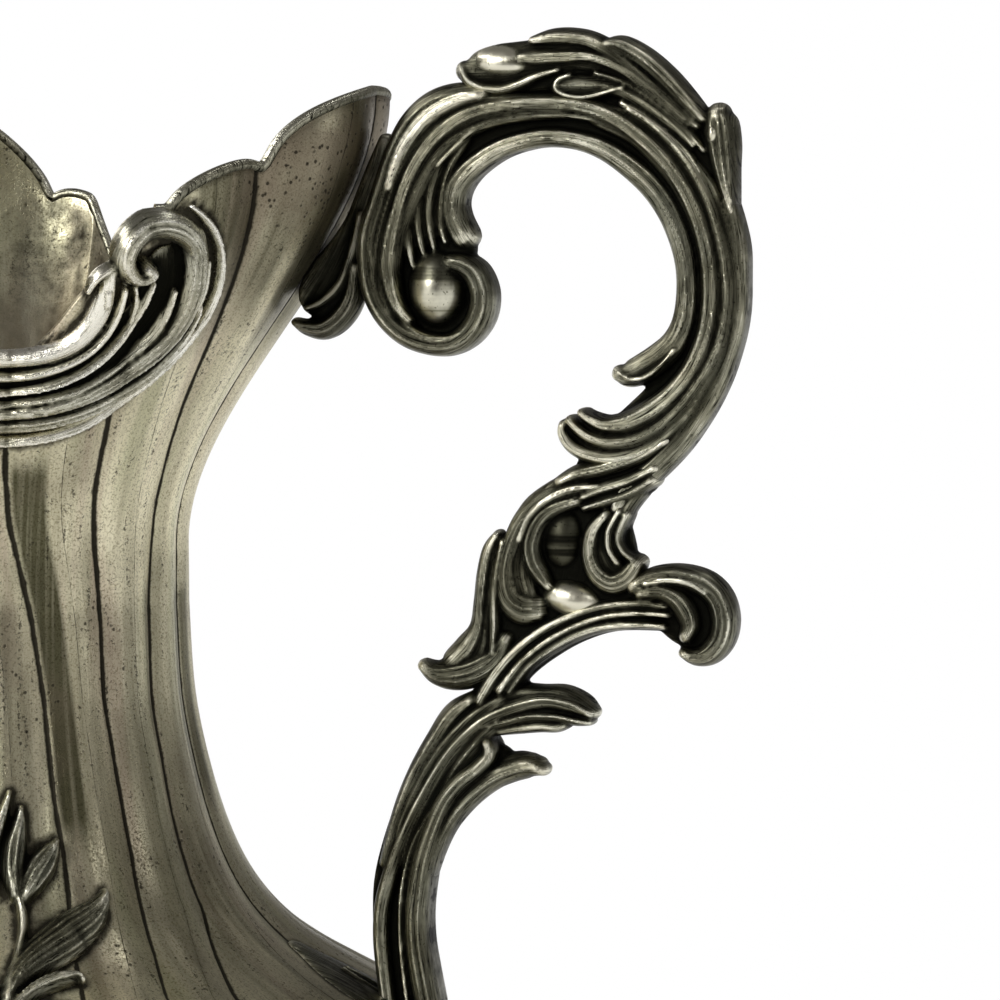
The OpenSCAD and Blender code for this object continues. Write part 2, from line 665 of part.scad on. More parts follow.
sprig_a_shares = [
    [0.13, 0.69, 0.012, 0.6], [0.165, 0.675, 0.015, 0.7],
    [0.2, 0.674, 0.014, 0.7], [0.228, 0.683, 0.009, 0.5],
    [0.238, 0.69, 0.004, 0.3]
];
sprig_b_shares = [
    [0.1, 0.745, 0.014, 0.6], [0.135, 0.738, 0.016, 0.7],
    [0.165, 0.734, 0.012, 0.6], [0.185, 0.742, 0.004, 0.3]
];

module handle_lower_scroll() {
    section = whole_section(ribbed_section_shares);
    line = frames(tail_shares, 2);
    // the tail's last ring lies on the leaf that seats it
    land = [tail_x, 0, tail_z];
    along = unit(wall_point(tail_z - probe, 0) - wall_point(tail_z + probe, 0));
    lift = gap + pad_t + gap;
    tail_ring = [
        for (s = section)
            let (p = land + along * s[0] * line[len(line) - 1][2] - [0, s[1] * half_t, 0])
            seated(p, lift)
    ];
    color(cast_dark) union() {
        skin(concat([for (f = line) section_ring(f, section)], [tail_ring]));
        casting(spur_shares, bead_section_shares, 3);
        translate(on_grid(spur_eye_share))
            rotate([90, 0, 0])
                cylinder(
                    r = spur_eye_share[2] * grid_z, h = handle_t * fill_t_share, center = true, $fn = 24
                );
        leaf_chain(sprig_a_shares);
        leaf_chain(sprig_b_shares);
    }
}

// Leaf on the shoulder under the tail: places in shares of the shoulder's height below the landing
foot_leaf_shares = [
    [0.09, 0.3, 0.7], [0.06, 0.75, 1], [0, 1, 1], [-0.06, 1, 1], [-0.12, 0.7, 1], [-0.2, 0.2, 0.6]
];
foot_leaf_half_w = 12;
module handle_foot_leaf() {
    stations = [
        for (s = foot_leaf_shares)
            [0, tail_z + s[0] * shoulder_h, s[1] * foot_leaf_half_w, s[2] * pad_t]
    ];
    color(cast_dark)
        wall_stroke(stations, flat_crest_shares, wide_base_shares);
}

// Bracket that fills the wedge between the flared neck and the handle's outer band
bracket_steps = [5, 12];
bracket_fall_share = 0.02;
// Section of the bracket: share of the way out to the band, share of its half thickness
bracket_section_shares = [
    [0, -0.8], [0.5, -1], [1, -0.8], [1, 0.8], [0.5, 1], [0, 0.8], [0, 0.35], [0, -0.35]
];
module handle_bracket() {
    band = frames(band_shares, 2);
    half = bracket_t / 2;
    color(cast_dark)
        skin([
            for (i = [bracket_steps[0]:bracket_steps[1]])
                let (
                    f = band[i],
                    outer = f[0] + f[1] * (-f[2] - gap),
                    fall = (i - bracket_steps[0]) / (bracket_steps[1] - bracket_steps[0]),
                    inner_z = outer[2] - fall * bracket_fall_share * grid_z,
                    inner = on_wall(inner_z, 0, gap)
                )
                [
                    for (s = bracket_section_shares)
                        let (
                            y = s[1] * half,
                            root = seated([inner[0], y, inner[2]], gap),
                            p = root + ([outer[0], y, outer[2]] - root) * s[0]
                        )
                        p
                ]
        ]);
}

// Sprays on the two sides: angle from the spray's axis and height from the waist down, in shares
spray_deg = 80;
spray_top_share = 0.66;
spray_h_share = 0.62;
spray_top_z = girth_z + spray_top_share * shoulder_h;
spray_h = spray_h_share * shoulder_h;
spray_half_w = 10;
leaf_tables_shares = [
    [[-2.2, 0.3, 0.12, 0.7], [-4, 0.15, 0.26, 0.9], [-6.5, 0, 0.05, 0.5]],
    [[-7, 0.38, 0.14, 0.8], [-10.5, 0.22, 0.32, 1], [-12, 0.1, 0.08, 0.6]],
    [[-11, 0.4, 0.16, 0.7], [-16, 0.27, 0.3, 0.9], [-19, 0.16, 0.08, 0.6]],
    [[-8.5, 0.6, 0.2, 0.9], [-15, 0.53, 0.6, 1], [-21, 0.43, 0.56, 1], [-26, 0.31, 0.1, 0.6]],
    [[-9, 0.66, 0.2, 0.8], [-13, 0.6, 0.34, 0.9], [-18, 0.56, 0.06, 0.5]],
    [[-5, 0.8, 0.2, 0.9], [-9, 0.88, 0.5, 1], [-15, 0.93, 0.1, 0.6]],
    [[0, 0.86, 0.2, 0.9], [0, 0.94, 0.45, 1], [0, 1.04, 0.08, 0.6]]
];
function spray_station(s, side) = [
    spray_deg + side * s[0], spray_top_z - s[1] * spray_h, s[2] * spray_half_w, s[3] * spray_t
];
module spray_leaves_near() {
    color(plate_dark)
        for (table = leaf_tables_shares)
            for (side = table[0][0] == 0 ? [1] : [1, -1])
                wall_stroke([for (s = table) spray_station(s, side)], leaf_crest_shares);
}

module spray_leaves_far() {
    mirror([0, 1, 0]) spray_leaves_near();
}

flower_drop_share = 0.68;
flower_z = spray_top_z - flower_drop_share * spray_h;
flower_boss_share = 0.3;
flower_boss_r = flower_r * flower_boss_share;
petals = 5;
// Rows of a petal: share of its reach, shares of the room beside it and of the spray's height
petal_shares = [[0, 0.92, 0.93], [0.35, 0.92, 1], [0.7, 0.74, 1], [1, 0.35, 0.93]];
petal_crest_shares = [[-1, 0.4], [-0.5, 0.9], [0, 0.7], [0.5, 0.9], [1, 0.4]];
module spray_flowers_near() {
    color(plate_dark)
        for (k = [0:petals - 1])
            wall_petal(90 + k * 360 / petals, flower_boss_r + gap);
}
// One petal, laid out from the flower's middle along a direction on the wall
module wall_petal(a, from) {
    c = wall_point(flower_z, spray_deg);
    n = wall_normal(flower_z, spray_deg);
    east = unit(cross([0, 0, 1], n));
    north = cross(n, east);
    out = cos(a) * east + sin(a) * north;
    side = cross(n, out);
    reach = flower_r - from;
    spread = tan(180 / petals);
    skin([
        for (row = petal_shares)
            let (
                d = from + row[0] * reach,
                w = row[1] * spread * d - gap,
                h = row[2] * spray_t,
                mid = c + out * d
            )
            concat(
                [for (s = petal_crest_shares) seated(mid + side * w * s[0], gap + h * s[1])],
                [for (s = base_shares) seated(mid + side * w * s, gap)]
            )
    ]);
}

module spray_flowers_far() {
    mirror([0, 1, 0]) spray_flowers_near();
}

boss_sides = 12;
// Rings of the boss: shares of its radius and of the spray's height
boss_shares = [[1, 0], [0.95, 0.5], [0.6, 1], [0.15, 1.2]];
module spray_bosses_near() {
    c = wall_point(flower_z, spray_deg);
    n = wall_normal(flower_z, spray_deg);
    east = unit(cross([0, 0, 1], n));
    north = cross(n, east);
    color(plate_dark)
        skin([
            for (s = boss_shares) [
                for (k = [0:boss_sides - 1])
                    let (a = k * 360 / boss_sides, out = cos(a) * east - sin(a) * north)
                    seated(c + out * flower_boss_r * s[0], gap + s[1] * spray_t)
            ]
        ]);
}

module spray_bosses_far() {
    mirror([0, 1, 0]) spray_bosses_near();
}

foot_ring();
foot_dome();
knop();
bowl_shell();
neck_shell();
rear_rim_wire();
spout_rim_wire();
mouth_scroll_near();
mouth_scroll_far();
mouth_bead_near();
mouth_bead_far();
handle_bracket();
handle_upper_scroll();
handle_crown_leaf();
handle_knot();
handle_lower_scroll();
handle_foot_leaf();
spray_leaves_near();
spray_leaves_far();
spray_flowers_near();
spray_flowers_far();
spray_bosses_near();
spray_bosses_far();
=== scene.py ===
"""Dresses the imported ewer: fluted silver shells, scroll mouldings, a cast scroll handle and flower sprays.

Lengths in the classes are millimetres in the part's frame, and become metres when a mesh is made. Routes of
the ornament are named pixels of the photograph, laid on the wall or the handle's plane through the camera.
"""
import logging
import math
from collections.abc import Mapping
from dataclasses import dataclass, replace
from enum import Enum

import bpy
import numpy as np
from bpy.types import Material, Mesh, Node, NodeSocket, NodeTree, Object, World
from mathutils import Matrix, Vector, kdtree
from mathutils.bvhtree import BVHTree


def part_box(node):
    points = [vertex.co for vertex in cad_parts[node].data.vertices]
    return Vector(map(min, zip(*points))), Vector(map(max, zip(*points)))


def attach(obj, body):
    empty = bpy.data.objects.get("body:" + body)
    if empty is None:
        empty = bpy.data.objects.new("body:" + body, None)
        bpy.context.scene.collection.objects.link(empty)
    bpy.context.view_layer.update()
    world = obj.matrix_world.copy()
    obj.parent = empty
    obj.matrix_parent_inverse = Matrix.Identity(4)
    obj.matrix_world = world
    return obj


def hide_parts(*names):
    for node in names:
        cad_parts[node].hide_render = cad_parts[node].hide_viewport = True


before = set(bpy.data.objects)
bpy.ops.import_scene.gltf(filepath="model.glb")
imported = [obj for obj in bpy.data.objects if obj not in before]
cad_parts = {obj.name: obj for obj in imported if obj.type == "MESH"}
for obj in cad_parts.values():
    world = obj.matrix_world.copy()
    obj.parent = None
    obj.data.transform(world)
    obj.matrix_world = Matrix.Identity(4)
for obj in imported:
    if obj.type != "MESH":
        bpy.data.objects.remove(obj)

log = logging.getLogger("ewer")
MM = 0.001
GRAIN_STEP = 7.3
BODY = "root"
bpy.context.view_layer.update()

Array = np.ndarray
Route = tuple[tuple[float, ...], ...]
Sockets = Mapping[str, NodeSocket]
Colour = tuple[float, float, float]
Place = tuple[float, float, float]
Stops = tuple[tuple[float, Colour], ...]


class Slot(Enum):
    """The record's material slots."""

    SHELL = "plate_shell"
    TRIM = "plate_trim"
    MOULDING = "mouldings"
    HANDLE = "handle_casting"
    SPRAY = "sprays"


def curve_through(points: Array, steps: int) -> Array:
    """Smooth curve through rows of numbers.

    Args:
        points: one row for each point; any columns may follow the place.
        steps: rows made for each stretch between two points.

    Returns:
        The denser rows, first and last kept.
    """
    p = np.asarray(points, float)
    before, after = np.vstack([p[:1], p[:-2]]), np.vstack([p[2:], p[-1:]])
    a, b, c, d = (v[:, None, :] for v in (before, p[:-1], p[1:], after))
    u = (np.arange(steps) / steps)[None, :, None]
    rows = (2 * b + (c - a) * u + (2 * a - 5 * b + 4 * c - d) * u**2 + (3 * b - a - 3 * c + d) * u**3) / 2
    return np.vstack([rows.reshape(-1, p.shape[1]), p[-1:]])


def unit(v: Array) -> Array:
    """Rows of v at length one."""
    return v / np.maximum(np.linalg.norm(v, axis=-1, keepdims=True), 1e-9)


@dataclass(frozen=True)
class PhotoCamera:
    """The photograph's camera, in millimetres, and the rays through its pixels."""

    azimuth: float = math.radians(14)
    elevation: float = math.radians(3.8)
    distance: float = 1200.0
    across: float = 111.3
    height: float = 253.0
    lens: float = 196.0
    sensor: float = 36.0
    pixels: float = 1000.0

    def axes(self) -> tuple[Array, Array, Array]:
        """Right, up and backward directions of the camera."""
        ca, sa, ce, se = (f(v) for v in (self.azimuth, self.elevation) for f in (math.cos, math.sin))
        right = np.array([ca, sa, 0.0])
        back = np.array([sa * ce, -ca * ce, se])
        return right, np.cross(back, right), back

    def place(self) -> Array:
        """Where the camera stands."""
        right, _, back = self.axes()
        return right * self.across + np.array([0, 0, self.height]) + back * self.distance

    def rays(self, px: Array, py: Array) -> Array:
        """Unit directions through pixels of the photograph."""
        right, up, back = self.axes()
        half = self.pixels / 2
        k = self.sensor / self.lens / self.pixels
        return unit(-back + np.outer((px - half) * k, right) - np.outer((py - half) * k, up))

    def on_plane(self, px: Array, py: Array, y: float) -> Array:
        """Where rays through pixels cross the upright plane at y."""
        eye, d = self.place(), self.rays(px, py)
        return eye + d * ((y - eye[1]) / d[:, 1])[:, None]

    def mm_per_pixel(self, points: Array) -> Array:
        """Size of a pixel at points, seen square on."""
        return (self.place() - points) @ self.axes()[2] * self.sensor / self.lens / self.pixels

    def build(self) -> Object:
        """Makes the camera and sets it as the scene's."""
        data = bpy.data.cameras.new("photo_camera")
        data.lens, data.sensor_width, data.clip_start = self.lens, self.sensor, 0.05
        cam = bpy.data.objects.new("photo_camera", data)
        right, up, back = self.axes()
        turn = Matrix(np.array([right, up, back]).T.tolist()).to_4x4()
        cam.matrix_world = Matrix.Translation(Vector(self.place() * MM)) @ turn
        bpy.context.scene.collection.objects.link(cam)
        bpy.context.scene.camera = cam
        return cam


PHOTO = PhotoCamera()


def level(node: str, top: bool = True) -> float:
    """Height of a CAD node's top or bottom, in millimetres."""
    return round(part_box(node)[1 if top else 0].z / MM, 2)


@dataclass
class Vessel:
    """The fluted wall of foot, bowl, shoulder, neck and flared mouth, as a surface over angle and height."""

    foot_ring_z: float = level("foot_ring")
    foot_top_z: float = level("foot_dome")
    bowl_z: float = level("knop")
    girth_z: float = level("neck_shell", top=False)
    foot_r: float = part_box("foot_ring")[1].x / MM
    stem_r: float = 15.0
    belly_r: float = 116.0
    bowl_flat_r: float = 19.0
    shoulder_h: float = 119.0
    neck_r: float = 43.0
    rear_lip_rise: float = 111.0
    spout_rise: float = 137.0
    rear_lip_r: float = 90.0
    mouth_r: float = 75.0
    spout_r: float = 110.0
    crescent_dip: float = 32.0
    wall: float = 1.8
    flutes: int = 16
    crease_share: float = 0.034
    crease_power: float = 0.88
    flare_share: float = 0.82
    flare_start: float = 0.12
    bed_share: float = 0.3
    lip_r_power: int = 14
    spout_r_power: int = 3
    lip_rise_power: int = 8
    spout_rise_power: int = 2
    lean_fade_h: float = 12.0
    lean_top_h: float = 70.0
    search_near: float = 160.0
    search_far: float = 120.0
    search_steps: int = 900
    cusps: tuple[float, ...] = (22.5, 40.5, 99.0, 126.0)
    cusp_shares: tuple[float, ...] = (0.84, 0.775, 0.79)
    crescent_mid: float = 69.75
    crescent_half: float = 21.0
    scallop_shares: tuple[float, float] = (0.04, 0.077)
    horns: Route = (
        (43.5, 0), (45, -0.8), (46.5, -2.6), (48, -5.6), (49.5, -5.8), (51, -4.2), (52.5, -2.6), (54, -1.2),
        (56, 0), (89, 0.2), (90.5, 0.7), (92, 1.4), (94, 2.0), (96, 2.0), (97.5, 1.4), (99, 0))

    BOWL_SHARES = (
        (0, 0), (0.04, 0.14), (0.1, 0.3), (0.19, 0.47), (0.31, 0.635), (0.46, 0.79), (0.62, 0.905),
        (0.8, 0.977), (1, 1))
    SHOULDER_SHARES = (
        (0.07, 0.984), (0.134, 0.938), (0.182, 0.878), (0.218, 0.808), (0.247, 0.735), (0.274, 0.657),
        (0.308, 0.555), (0.35, 0.435), (0.4, 0.32), (0.47, 0.215), (0.56, 0.135), (0.68, 0.07),
        (0.83, 0.018), (1, 0))

    CREASES = (
        ((262, 162), (189, 400), (166, 476), (156, 533), (152, 591), (153, 648), (155, 698), (165, 757),
         (176, 815), (189, 863), (207, 910), (239, 998)),
        ((107, 440), (97, 491), (96, 533), (99, 572), (103, 629), (106, 698), (113, 738), (124, 801),
         (134, 853), (145, 910), (159, 958), (170, 998)),
        ((5, 470), (9, 524), (19, 564), (32, 619), (45, 698), (50, 748), (55, 796), (65, 853), (70, 891)))
    LEAN_SHARES = (0.0, 1.0, 1.0, 1.0, 0.7, 0.35, 0.0, 0.0, 0.0)

    def __post_init__(self) -> None:
        """Works out the heights, the smooth profile up to the waist, and the lean of the creases."""
        bowl_h = self.girth_z - self.bowl_z
        self.neck_z = self.girth_z + self.shoulder_h
        self.rear_lip_z = self.neck_z + self.rear_lip_rise
        self.cusp_z = [
            self.neck_z + self.cusp_shares[0] * self.rear_lip_rise,
            self.neck_z + self.cusp_shares[1] * self.rear_lip_rise,
            self.neck_z + self.cusp_shares[2] * self.spout_rise,
        ]
        knots = [(self.bowl_z + s * bowl_h, self.bowl_flat_r + w * (self.belly_r - self.bowl_flat_r))
                 for s, w in self.BOWL_SHARES]
        knots += [(self.girth_z + s * self.shoulder_h, self.neck_r + w * (self.belly_r - self.neck_r))
                  for s, w in self.SHOULDER_SHARES]
        self.profile = curve_through(np.array(knots), 8)
        pitch = 360 / self.flutes
        seen = []
        for k, route in enumerate(self.CREASES):
            phi, z = self.seen(*np.array(route, float).T)
            z, off = z[::-1], (phi - (k + 1) * pitch)[::-1]
            top = max(z[-1] + self.lean_fade_h, self.neck_z + self.lean_top_h)
            seen.append((np.concatenate([[self.bowl_z], z, [top]]), np.concatenate([[0], off, [0]])))
        self.leans = [seen[min(max(k - 1, 0), len(seen) - 1)] for k in range(len(self.LEAN_SHARES))]

    def lean(self, z: Array, phi: Array) -> Array:
        """Degrees by which the creases lean away from even places, alike on both sides.

        Args:
            z: heights.
            phi: angles that the creases would have if they stood evenly.

        Returns:
            The degrees to add to phi.
        """
        z, phi = np.broadcast_arrays(np.asarray(z, float), np.asarray(phi, float))
        side = (phi + 180) % 360 - 180
        at = np.abs(side) * self.flutes / 360
        total = sum(share * np.clip(1 - np.abs(at - k), 0, 1) * np.interp(z, *self.leans[k])
                    for k, share in enumerate(self.LEAN_SHARES))
        return total * np.sign(side)

    def crease(self, phi: Array) -> Array:
        """One in the creases between flutes, zero on their crowns."""
        return 1 - np.abs(np.sin(np.radians(phi) * self.flutes / 2)) ** self.crease_power

    def round_r(self, z: Array, phi: Array) -> Array:
        """Radius of the wall before it is fluted."""
        c = np.cos(np.radians(phi))
        front, back = np.maximum(-c, 0), np.maximum(c, 0)
        rim_r = self.mouth_r + (self.rear_lip_r - self.mouth_r) * back**self.lip_r_power
        rim_r = rim_r + (self.spout_r - self.mouth_r) * front**self.spout_r_power
        side_h = self.flare_share * self.rear_lip_rise
        rise = side_h + (self.rear_lip_rise - side_h) * back**self.lip_rise_power
        rise = rise + (self.spout_rise - side_h) * front**self.spout_rise_power
        u = np.clip(((z - self.neck_z) / rise - self.flare_start) / (1 - self.flare_start), 0, 1)
        flare = self.neck_r + (rim_r - self.neck_r) * u * u * (3 - 2 * u)
        return np.where(z <= self.neck_z, np.interp(z, self.profile[:, 0], self.profile[:, 1]), flare)

    def wall_r(self, z: Array, phi: Array) -> Array:
        """Radius of the fluted wall."""
        even = phi - self.lean(z, phi)
        even = phi - self.lean(z, even)
        return self.round_r(z, phi) * (1 - self.crease_share * self.crease(even))

    def point(self, z: Array, phi: Array, inset: Array | float = 0.0) -> Array:
        """Points of the wall, moved straight in by inset. The near side, at -Y, has positive angles."""
        r, a = self.wall_r(z, phi) - inset, np.radians(phi)
        return np.stack([r * np.cos(a), -r * np.sin(a), z + 0 * r], -1)

    def bed(self, z: Array, phi: Array) -> Array:
        """Points of the even skin, without creases, on which ornaments lie."""
        r, a = self.round_r(z, phi) * (1 - self.bed_share * self.crease_share), np.radians(phi)
        return np.stack([r * np.cos(a), -r * np.sin(a), z + 0 * r], -1)

    def normal(self, z: Array, phi: Array) -> Array:
        """Outward normals of the bed."""
        up = self.bed(z + 1.0, phi) - self.bed(z - 1.0, phi)
        around = self.bed(z, phi - 2.0) - self.bed(z, phi + 2.0)
        return unit(np.cross(around, up))

    def rim_z(self, phi: Array) -> Array:
        """Height of the scalloped rim over the angle, both sides alike."""
        a = np.abs((phi + 180) % 360 - 180)
        k, z = self.cusps, self.cusp_z

        def scallop(lo: float, hi: float, z0: float, z1: float, rise: float) -> Array:
            u = (a - lo) / (hi - lo)
            return z0 + (z1 - z0) * u + rise * np.sqrt(np.clip(1 - (2 * u - 1) ** 2, 0, None))

        lip = z[0] + (self.rear_lip_z - z[0]) * np.sqrt(np.clip(1 - (a / k[0]) ** 2, 0, None))
        rear = scallop(k[0], k[1], z[0], z[1], self.scallop_shares[0] * self.rear_lip_rise)
        dip = np.clip(1 - ((a - self.crescent_mid) / self.crescent_half) ** 2, 0, None)
        low = z[1] - self.crescent_dip * dip + np.interp(a, *np.array(self.horns).T)
        side = scallop(k[2], k[3], z[1], z[2], self.scallop_shares[1] * self.rear_lip_rise)
        fall = np.abs((180 - a) / (180 - k[3])) ** 1.8
        spout = z[2] + (self.neck_z + self.spout_rise - z[2]) * (1 - fall)
        return np.select([a < k[0], a < k[1], a < k[2], a < k[3]],
                         [lip, rear, low, side], spout)

    def seen(self, px: Array, py: Array) -> tuple[Array, Array]:
        """Angle and height at which rays through pixels first meet the near wall."""
        eye, d = PHOTO.place(), PHOTO.rays(px, py)
        near, far = PHOTO.distance - self.search_near, PHOTO.distance + self.search_far
        steps = np.linspace(near, far, self.search_steps)
        p = eye + d[:, None, :] * steps[None, :, None]
        phi = np.degrees(np.arctan2(-p[..., 1], p[..., 0]))
        bed_r = self.round_r(p[..., 2], phi) * (1 - self.bed_share * self.crease_share)
        outside = np.hypot(p[..., 0], p[..., 1]) - bed_r
        first = np.argmax(outside < 0, axis=1)
        rows = np.arange(len(p))
        a, b = outside[rows, first - 1], outside[rows, first]
        t = steps[first - 1] + (steps[1] - steps[0]) * a / np.maximum(a - b, 1e-9)
        hit = eye + d * t[:, None]
        return np.degrees(np.arctan2(-hit[:, 1], hit[:, 0])), hit[:, 2]


VESSEL = Vessel()


@dataclass
class Solid:
    """A bare closed mesh in millimetres, with the metal's grain on each vertex, and its painted light:
    painted shade above zero, a painted highlight below.
    """

    verts: Array
    faces: list[tuple[int, ...]]
    grain: Array
    # Painted light: above zero a painted shade, below zero a painted highlight.
    painted_light: float = 0.0

    def mirrored(self) -> "Solid":
        """The same solid on the far side of the plane through handle and spout."""
        return Solid(self.verts * [1, -1, 1], [f[::-1] for f in self.faces], self.grain, self.painted_light)


def ring_faces(rows: int, columns: int, closed: bool = False) -> list[tuple[int, ...]]:
    """Faces over rows of rings.

    Args:
        rows: number of rings.
        columns: points of each ring.
        closed: joins the last ring to the first, otherwise each end is closed to one of two more points.

    Returns:
        The quads, then the triangles at the ends.
    """
    ids = np.arange(rows * columns).reshape(rows, columns)
    low, top = (ids, np.roll(ids, -1, 0)) if closed else (ids[:-1], ids[1:])
    quads = np.stack([low, np.roll(low, -1, 1), np.roll(top, -1, 1), top], -1).reshape(-1, 4)
    faces = [tuple(q) for q in quads.tolist()]
    if not closed:
        faces += [(ids.size, int(b), int(a)) for a, b in zip(ids[0], np.roll(ids[0], -1))]
        faces += [(ids.size + 1, int(a), int(b)) for a, b in zip(ids[-1], np.roll(ids[-1], -1))]
    return faces


def fans(faces: list[tuple[int, ...]]) -> Array:
    """Triangles of the faces, fanned from each face's first corner."""
    return np.array([(f[0], f[i], f[i + 1]) for f in faces for i in range(1, len(f) - 1)])


def tube(mids: Array, side: Array, out: Array, size: Array, number: float = 0.0,
         sides: int = 20, power: float = 2.0) -> Solid:
    """A closed tube with an oval section and round ends.

    Args:
        mids: points along its middle.
        side: unit direction of its width at each point.
        out: unit direction of its height at each point.
        size: half width, height above and depth below the middle, at each point.
        number: sets this tube's grain apart from its neighbours'.
        sides: points round the section.
        power: two for an oval, more for a boxier section, less for a sharper ridge.

    Returns:
        The tube.
    """
    along = unit(np.gradient(mids, axis=0))
    fall = np.array([0.3, 0.66, 0.9])
    reach = np.sqrt(1 - fall**2)
    head = mids[:1] - along[:1] * size[:1, :1] * reach[:, None]
    tail = mids[-1:] + along[-1:] * size[-1:, :1] * reach[::-1, None]
    mids = np.vstack([head, mids, tail])
    side = np.vstack([side[[0] * 3], side, side[[-1] * 3]])
    out = np.vstack([out[[0] * 3], out, out[[-1] * 3]])
    size = np.vstack([size[:1] * fall[:, None], size, size[-1:] * fall[::-1, None]])
    a = np.arange(sides) * 2 * np.pi / sides
    c, s = np.cos(a), np.sin(a)
    c, s = (np.sign(v) * np.abs(v) ** (2 / power) for v in (c, s))
    wide = size[:, :1] * c[None, :]
    tall = np.where(s[None, :] > 0, size[:, 1:2], size[:, 2:3]) * s[None, :]
    rings = mids[:, None] + side[:, None] * wide[..., None] + out[:, None] * tall[..., None]
    length = np.concatenate([[0], np.cumsum(np.linalg.norm(np.diff(mids, axis=0), axis=1))])
    layer = number * GRAIN_STEP
    grain = np.stack(np.broadcast_arrays(length[:, None], wide, np.array([[layer]])), -1)
    verts = np.vstack([rings.reshape(-1, 3), mids[:1], mids[-1:]])
    grain = np.vstack([grain.reshape(-1, 3), [[0, 0, layer]], [[length[-1], 0, layer]]])
    return Solid(verts, ring_faces(len(mids), sides), grain)


def on_wall(stations: Array, number: float = 0.0, power: float = 2.0, under: float = 0.7) -> Solid:
    """A raised stroke lying on the vessel's wall.

    Args:
        stations: rows of angle, height, half width and rise.
        number: sets the stroke's grain apart.
        power: shape of the section.
        under: depth by which it is let into the wall.

    Returns:
        The stroke.
    """
    phi, z, half, rise = stations.T
    mids, out = VESSEL.point(z, phi), VESSEL.normal(z, phi)
    side = unit(np.cross(out, unit(np.gradient(mids, axis=0))))
    size = np.stack([np.maximum(half, 0.15), np.maximum(rise, 0.1), np.full(len(z), under)], -1)
    return tube(mids, side, out, size, number, power=power)


def seen_stations(route: Route, steps: int = 6, passes: int = 14) -> Array:
    """Stations on the near wall of a route in pixels.

    Args:
        route: rows of pixel across, pixel down, half width in pixels and rise in millimetres.
        steps: stations made for each stretch of the route.
        passes: times that the places are smoothed.

    Returns:
        Rows of angle, height, half width and rise.
    """
    rows = curve_through(np.array(route, float), steps)
    phi, z = VESSEL.seen(rows[:, 0], rows[:, 1])
    half = rows[:, 2] * PHOTO.mm_per_pixel(VESSEL.point(z, phi))
    for _ in range(passes):
        phi[1:-1] = phi[1:-1] / 2 + (phi[:-2] + phi[2:]) / 4
        z[1:-1] = z[1:-1] / 2 + (z[:-2] + z[2:]) / 4
    return np.stack([phi, z, half, rows[:, 3]], -1)


@dataclass(frozen=True)
class Graph:
    """A node tree in the making, with short ways to add its usual nodes."""

    tree: NodeTree

    def add(self, kind: str, inputs: dict[int | str, object] | None = None, **settings: object) -> Node:
        """Adds a node.

        Args:
            kind: Blender's name for the node type.
            inputs: values, sockets or nodes (their first output), by the input's index or name.
            **settings: properties of the node.

        Returns:
            The node.
        """
        node = self.tree.nodes.new(kind)
        for name, value in settings.items():
            setattr(node, name, value)
        for key, value in (inputs or {}).items():
            value = value.outputs[0] if isinstance(value, Node) else value
            if isinstance(value, NodeSocket):
                self.tree.links.new(value, node.inputs[key])
            else:
                node.inputs[key].default_value = value
        return node

    def math(self, op: str, a: object, b: object = 0.0, clamp: bool = False) -> NodeSocket:
        """Result of a math node."""
        return self.add("ShaderNodeMath", {0: a, 1: b}, operation=op, use_clamp=clamp).outputs[0]

    def plus(self, a: object, b: object) -> NodeSocket:
        """Sum of two values."""
        return self.math("ADD", a, b)

    def minus(self, a: object, b: object) -> NodeSocket:
        """One value less another."""
        return self.math("SUBTRACT", a, b)

    def times(self, a: object, b: object) -> NodeSocket:
        """Product of two values."""
        return self.math("MULTIPLY", a, b)

    def swing(self, value: object, reach: float) -> NodeSocket:
        """A value that lies about one half, made to lie about zero."""
        return self.times(self.minus(value, 0.5), reach)

    def scaled(self, vector: object, by: Place) -> NodeSocket:
        """A vector times another."""
        return self.add("ShaderNodeVectorMath", {0: vector, 1: by}, operation="MULTIPLY").outputs[0]

    def noise(self, vector: object, scale: float, detail: float = 3.0, rough: float = 0.55) -> NodeSocket:
        """Noise between about 0.2 and 0.8."""
        return self.add("ShaderNodeTexNoise", {"Vector": vector, "Scale": scale, "Detail": detail,
                                               "Roughness": rough}).outputs[0]

    def read(self, name: str, vector: bool = False) -> NodeSocket:
        """The mesh's own attribute."""
        node = self.add("ShaderNodeAttribute", attribute_name=name)
        return node.outputs["Vector" if vector else "Fac"]

    def read_named(self, name: str) -> NodeSocket:
        """A number stored on the mesh, inside a Geometry Nodes tree."""
        return self.add("GeometryNodeInputNamedAttribute", {"Name": name}, data_type="FLOAT").outputs[0]

    def spread(self, value: object, lo: float, hi: float, to_lo: float = 0.0,
               to_hi: float = 1.0) -> NodeSocket:
        """Value mapped from one range to another and held inside it."""
        return self.add("ShaderNodeMapRange", {0: value, 1: lo, 2: hi, 3: to_lo, 4: to_hi}).outputs[0]

    def ramp(self, value: object, stops: Stops) -> NodeSocket:
        """Colour ramp over the stops."""
        node = self.add("ShaderNodeValToRGB", {0: value})
        band = node.color_ramp.elements
        while len(band) < len(stops):
            band.new(0.5)
        for i, (place, colour) in enumerate(stops):
            band[i].position = place
            band[i].color = (*colour, 1.0)
        return node.outputs[0]

    def blend(self, factor: object, a: object, b: object, mode: str = "MIX") -> NodeSocket:
        """Colour mix from a to b."""
        a, b = ((*v, 1.0) if isinstance(v, tuple) else v for v in (a, b))
        mix = self.add("ShaderNodeMix", {0: factor, 6: a, 7: b}, data_type="RGBA", blend_type=mode)
        return mix.outputs[2]


def emptied(owner: Material | World) -> Graph:
    """The graph of a material or a world, without nodes yet."""
    owner.use_nodes = True
    owner.node_tree.nodes.clear()
    return Graph(owner.node_tree)


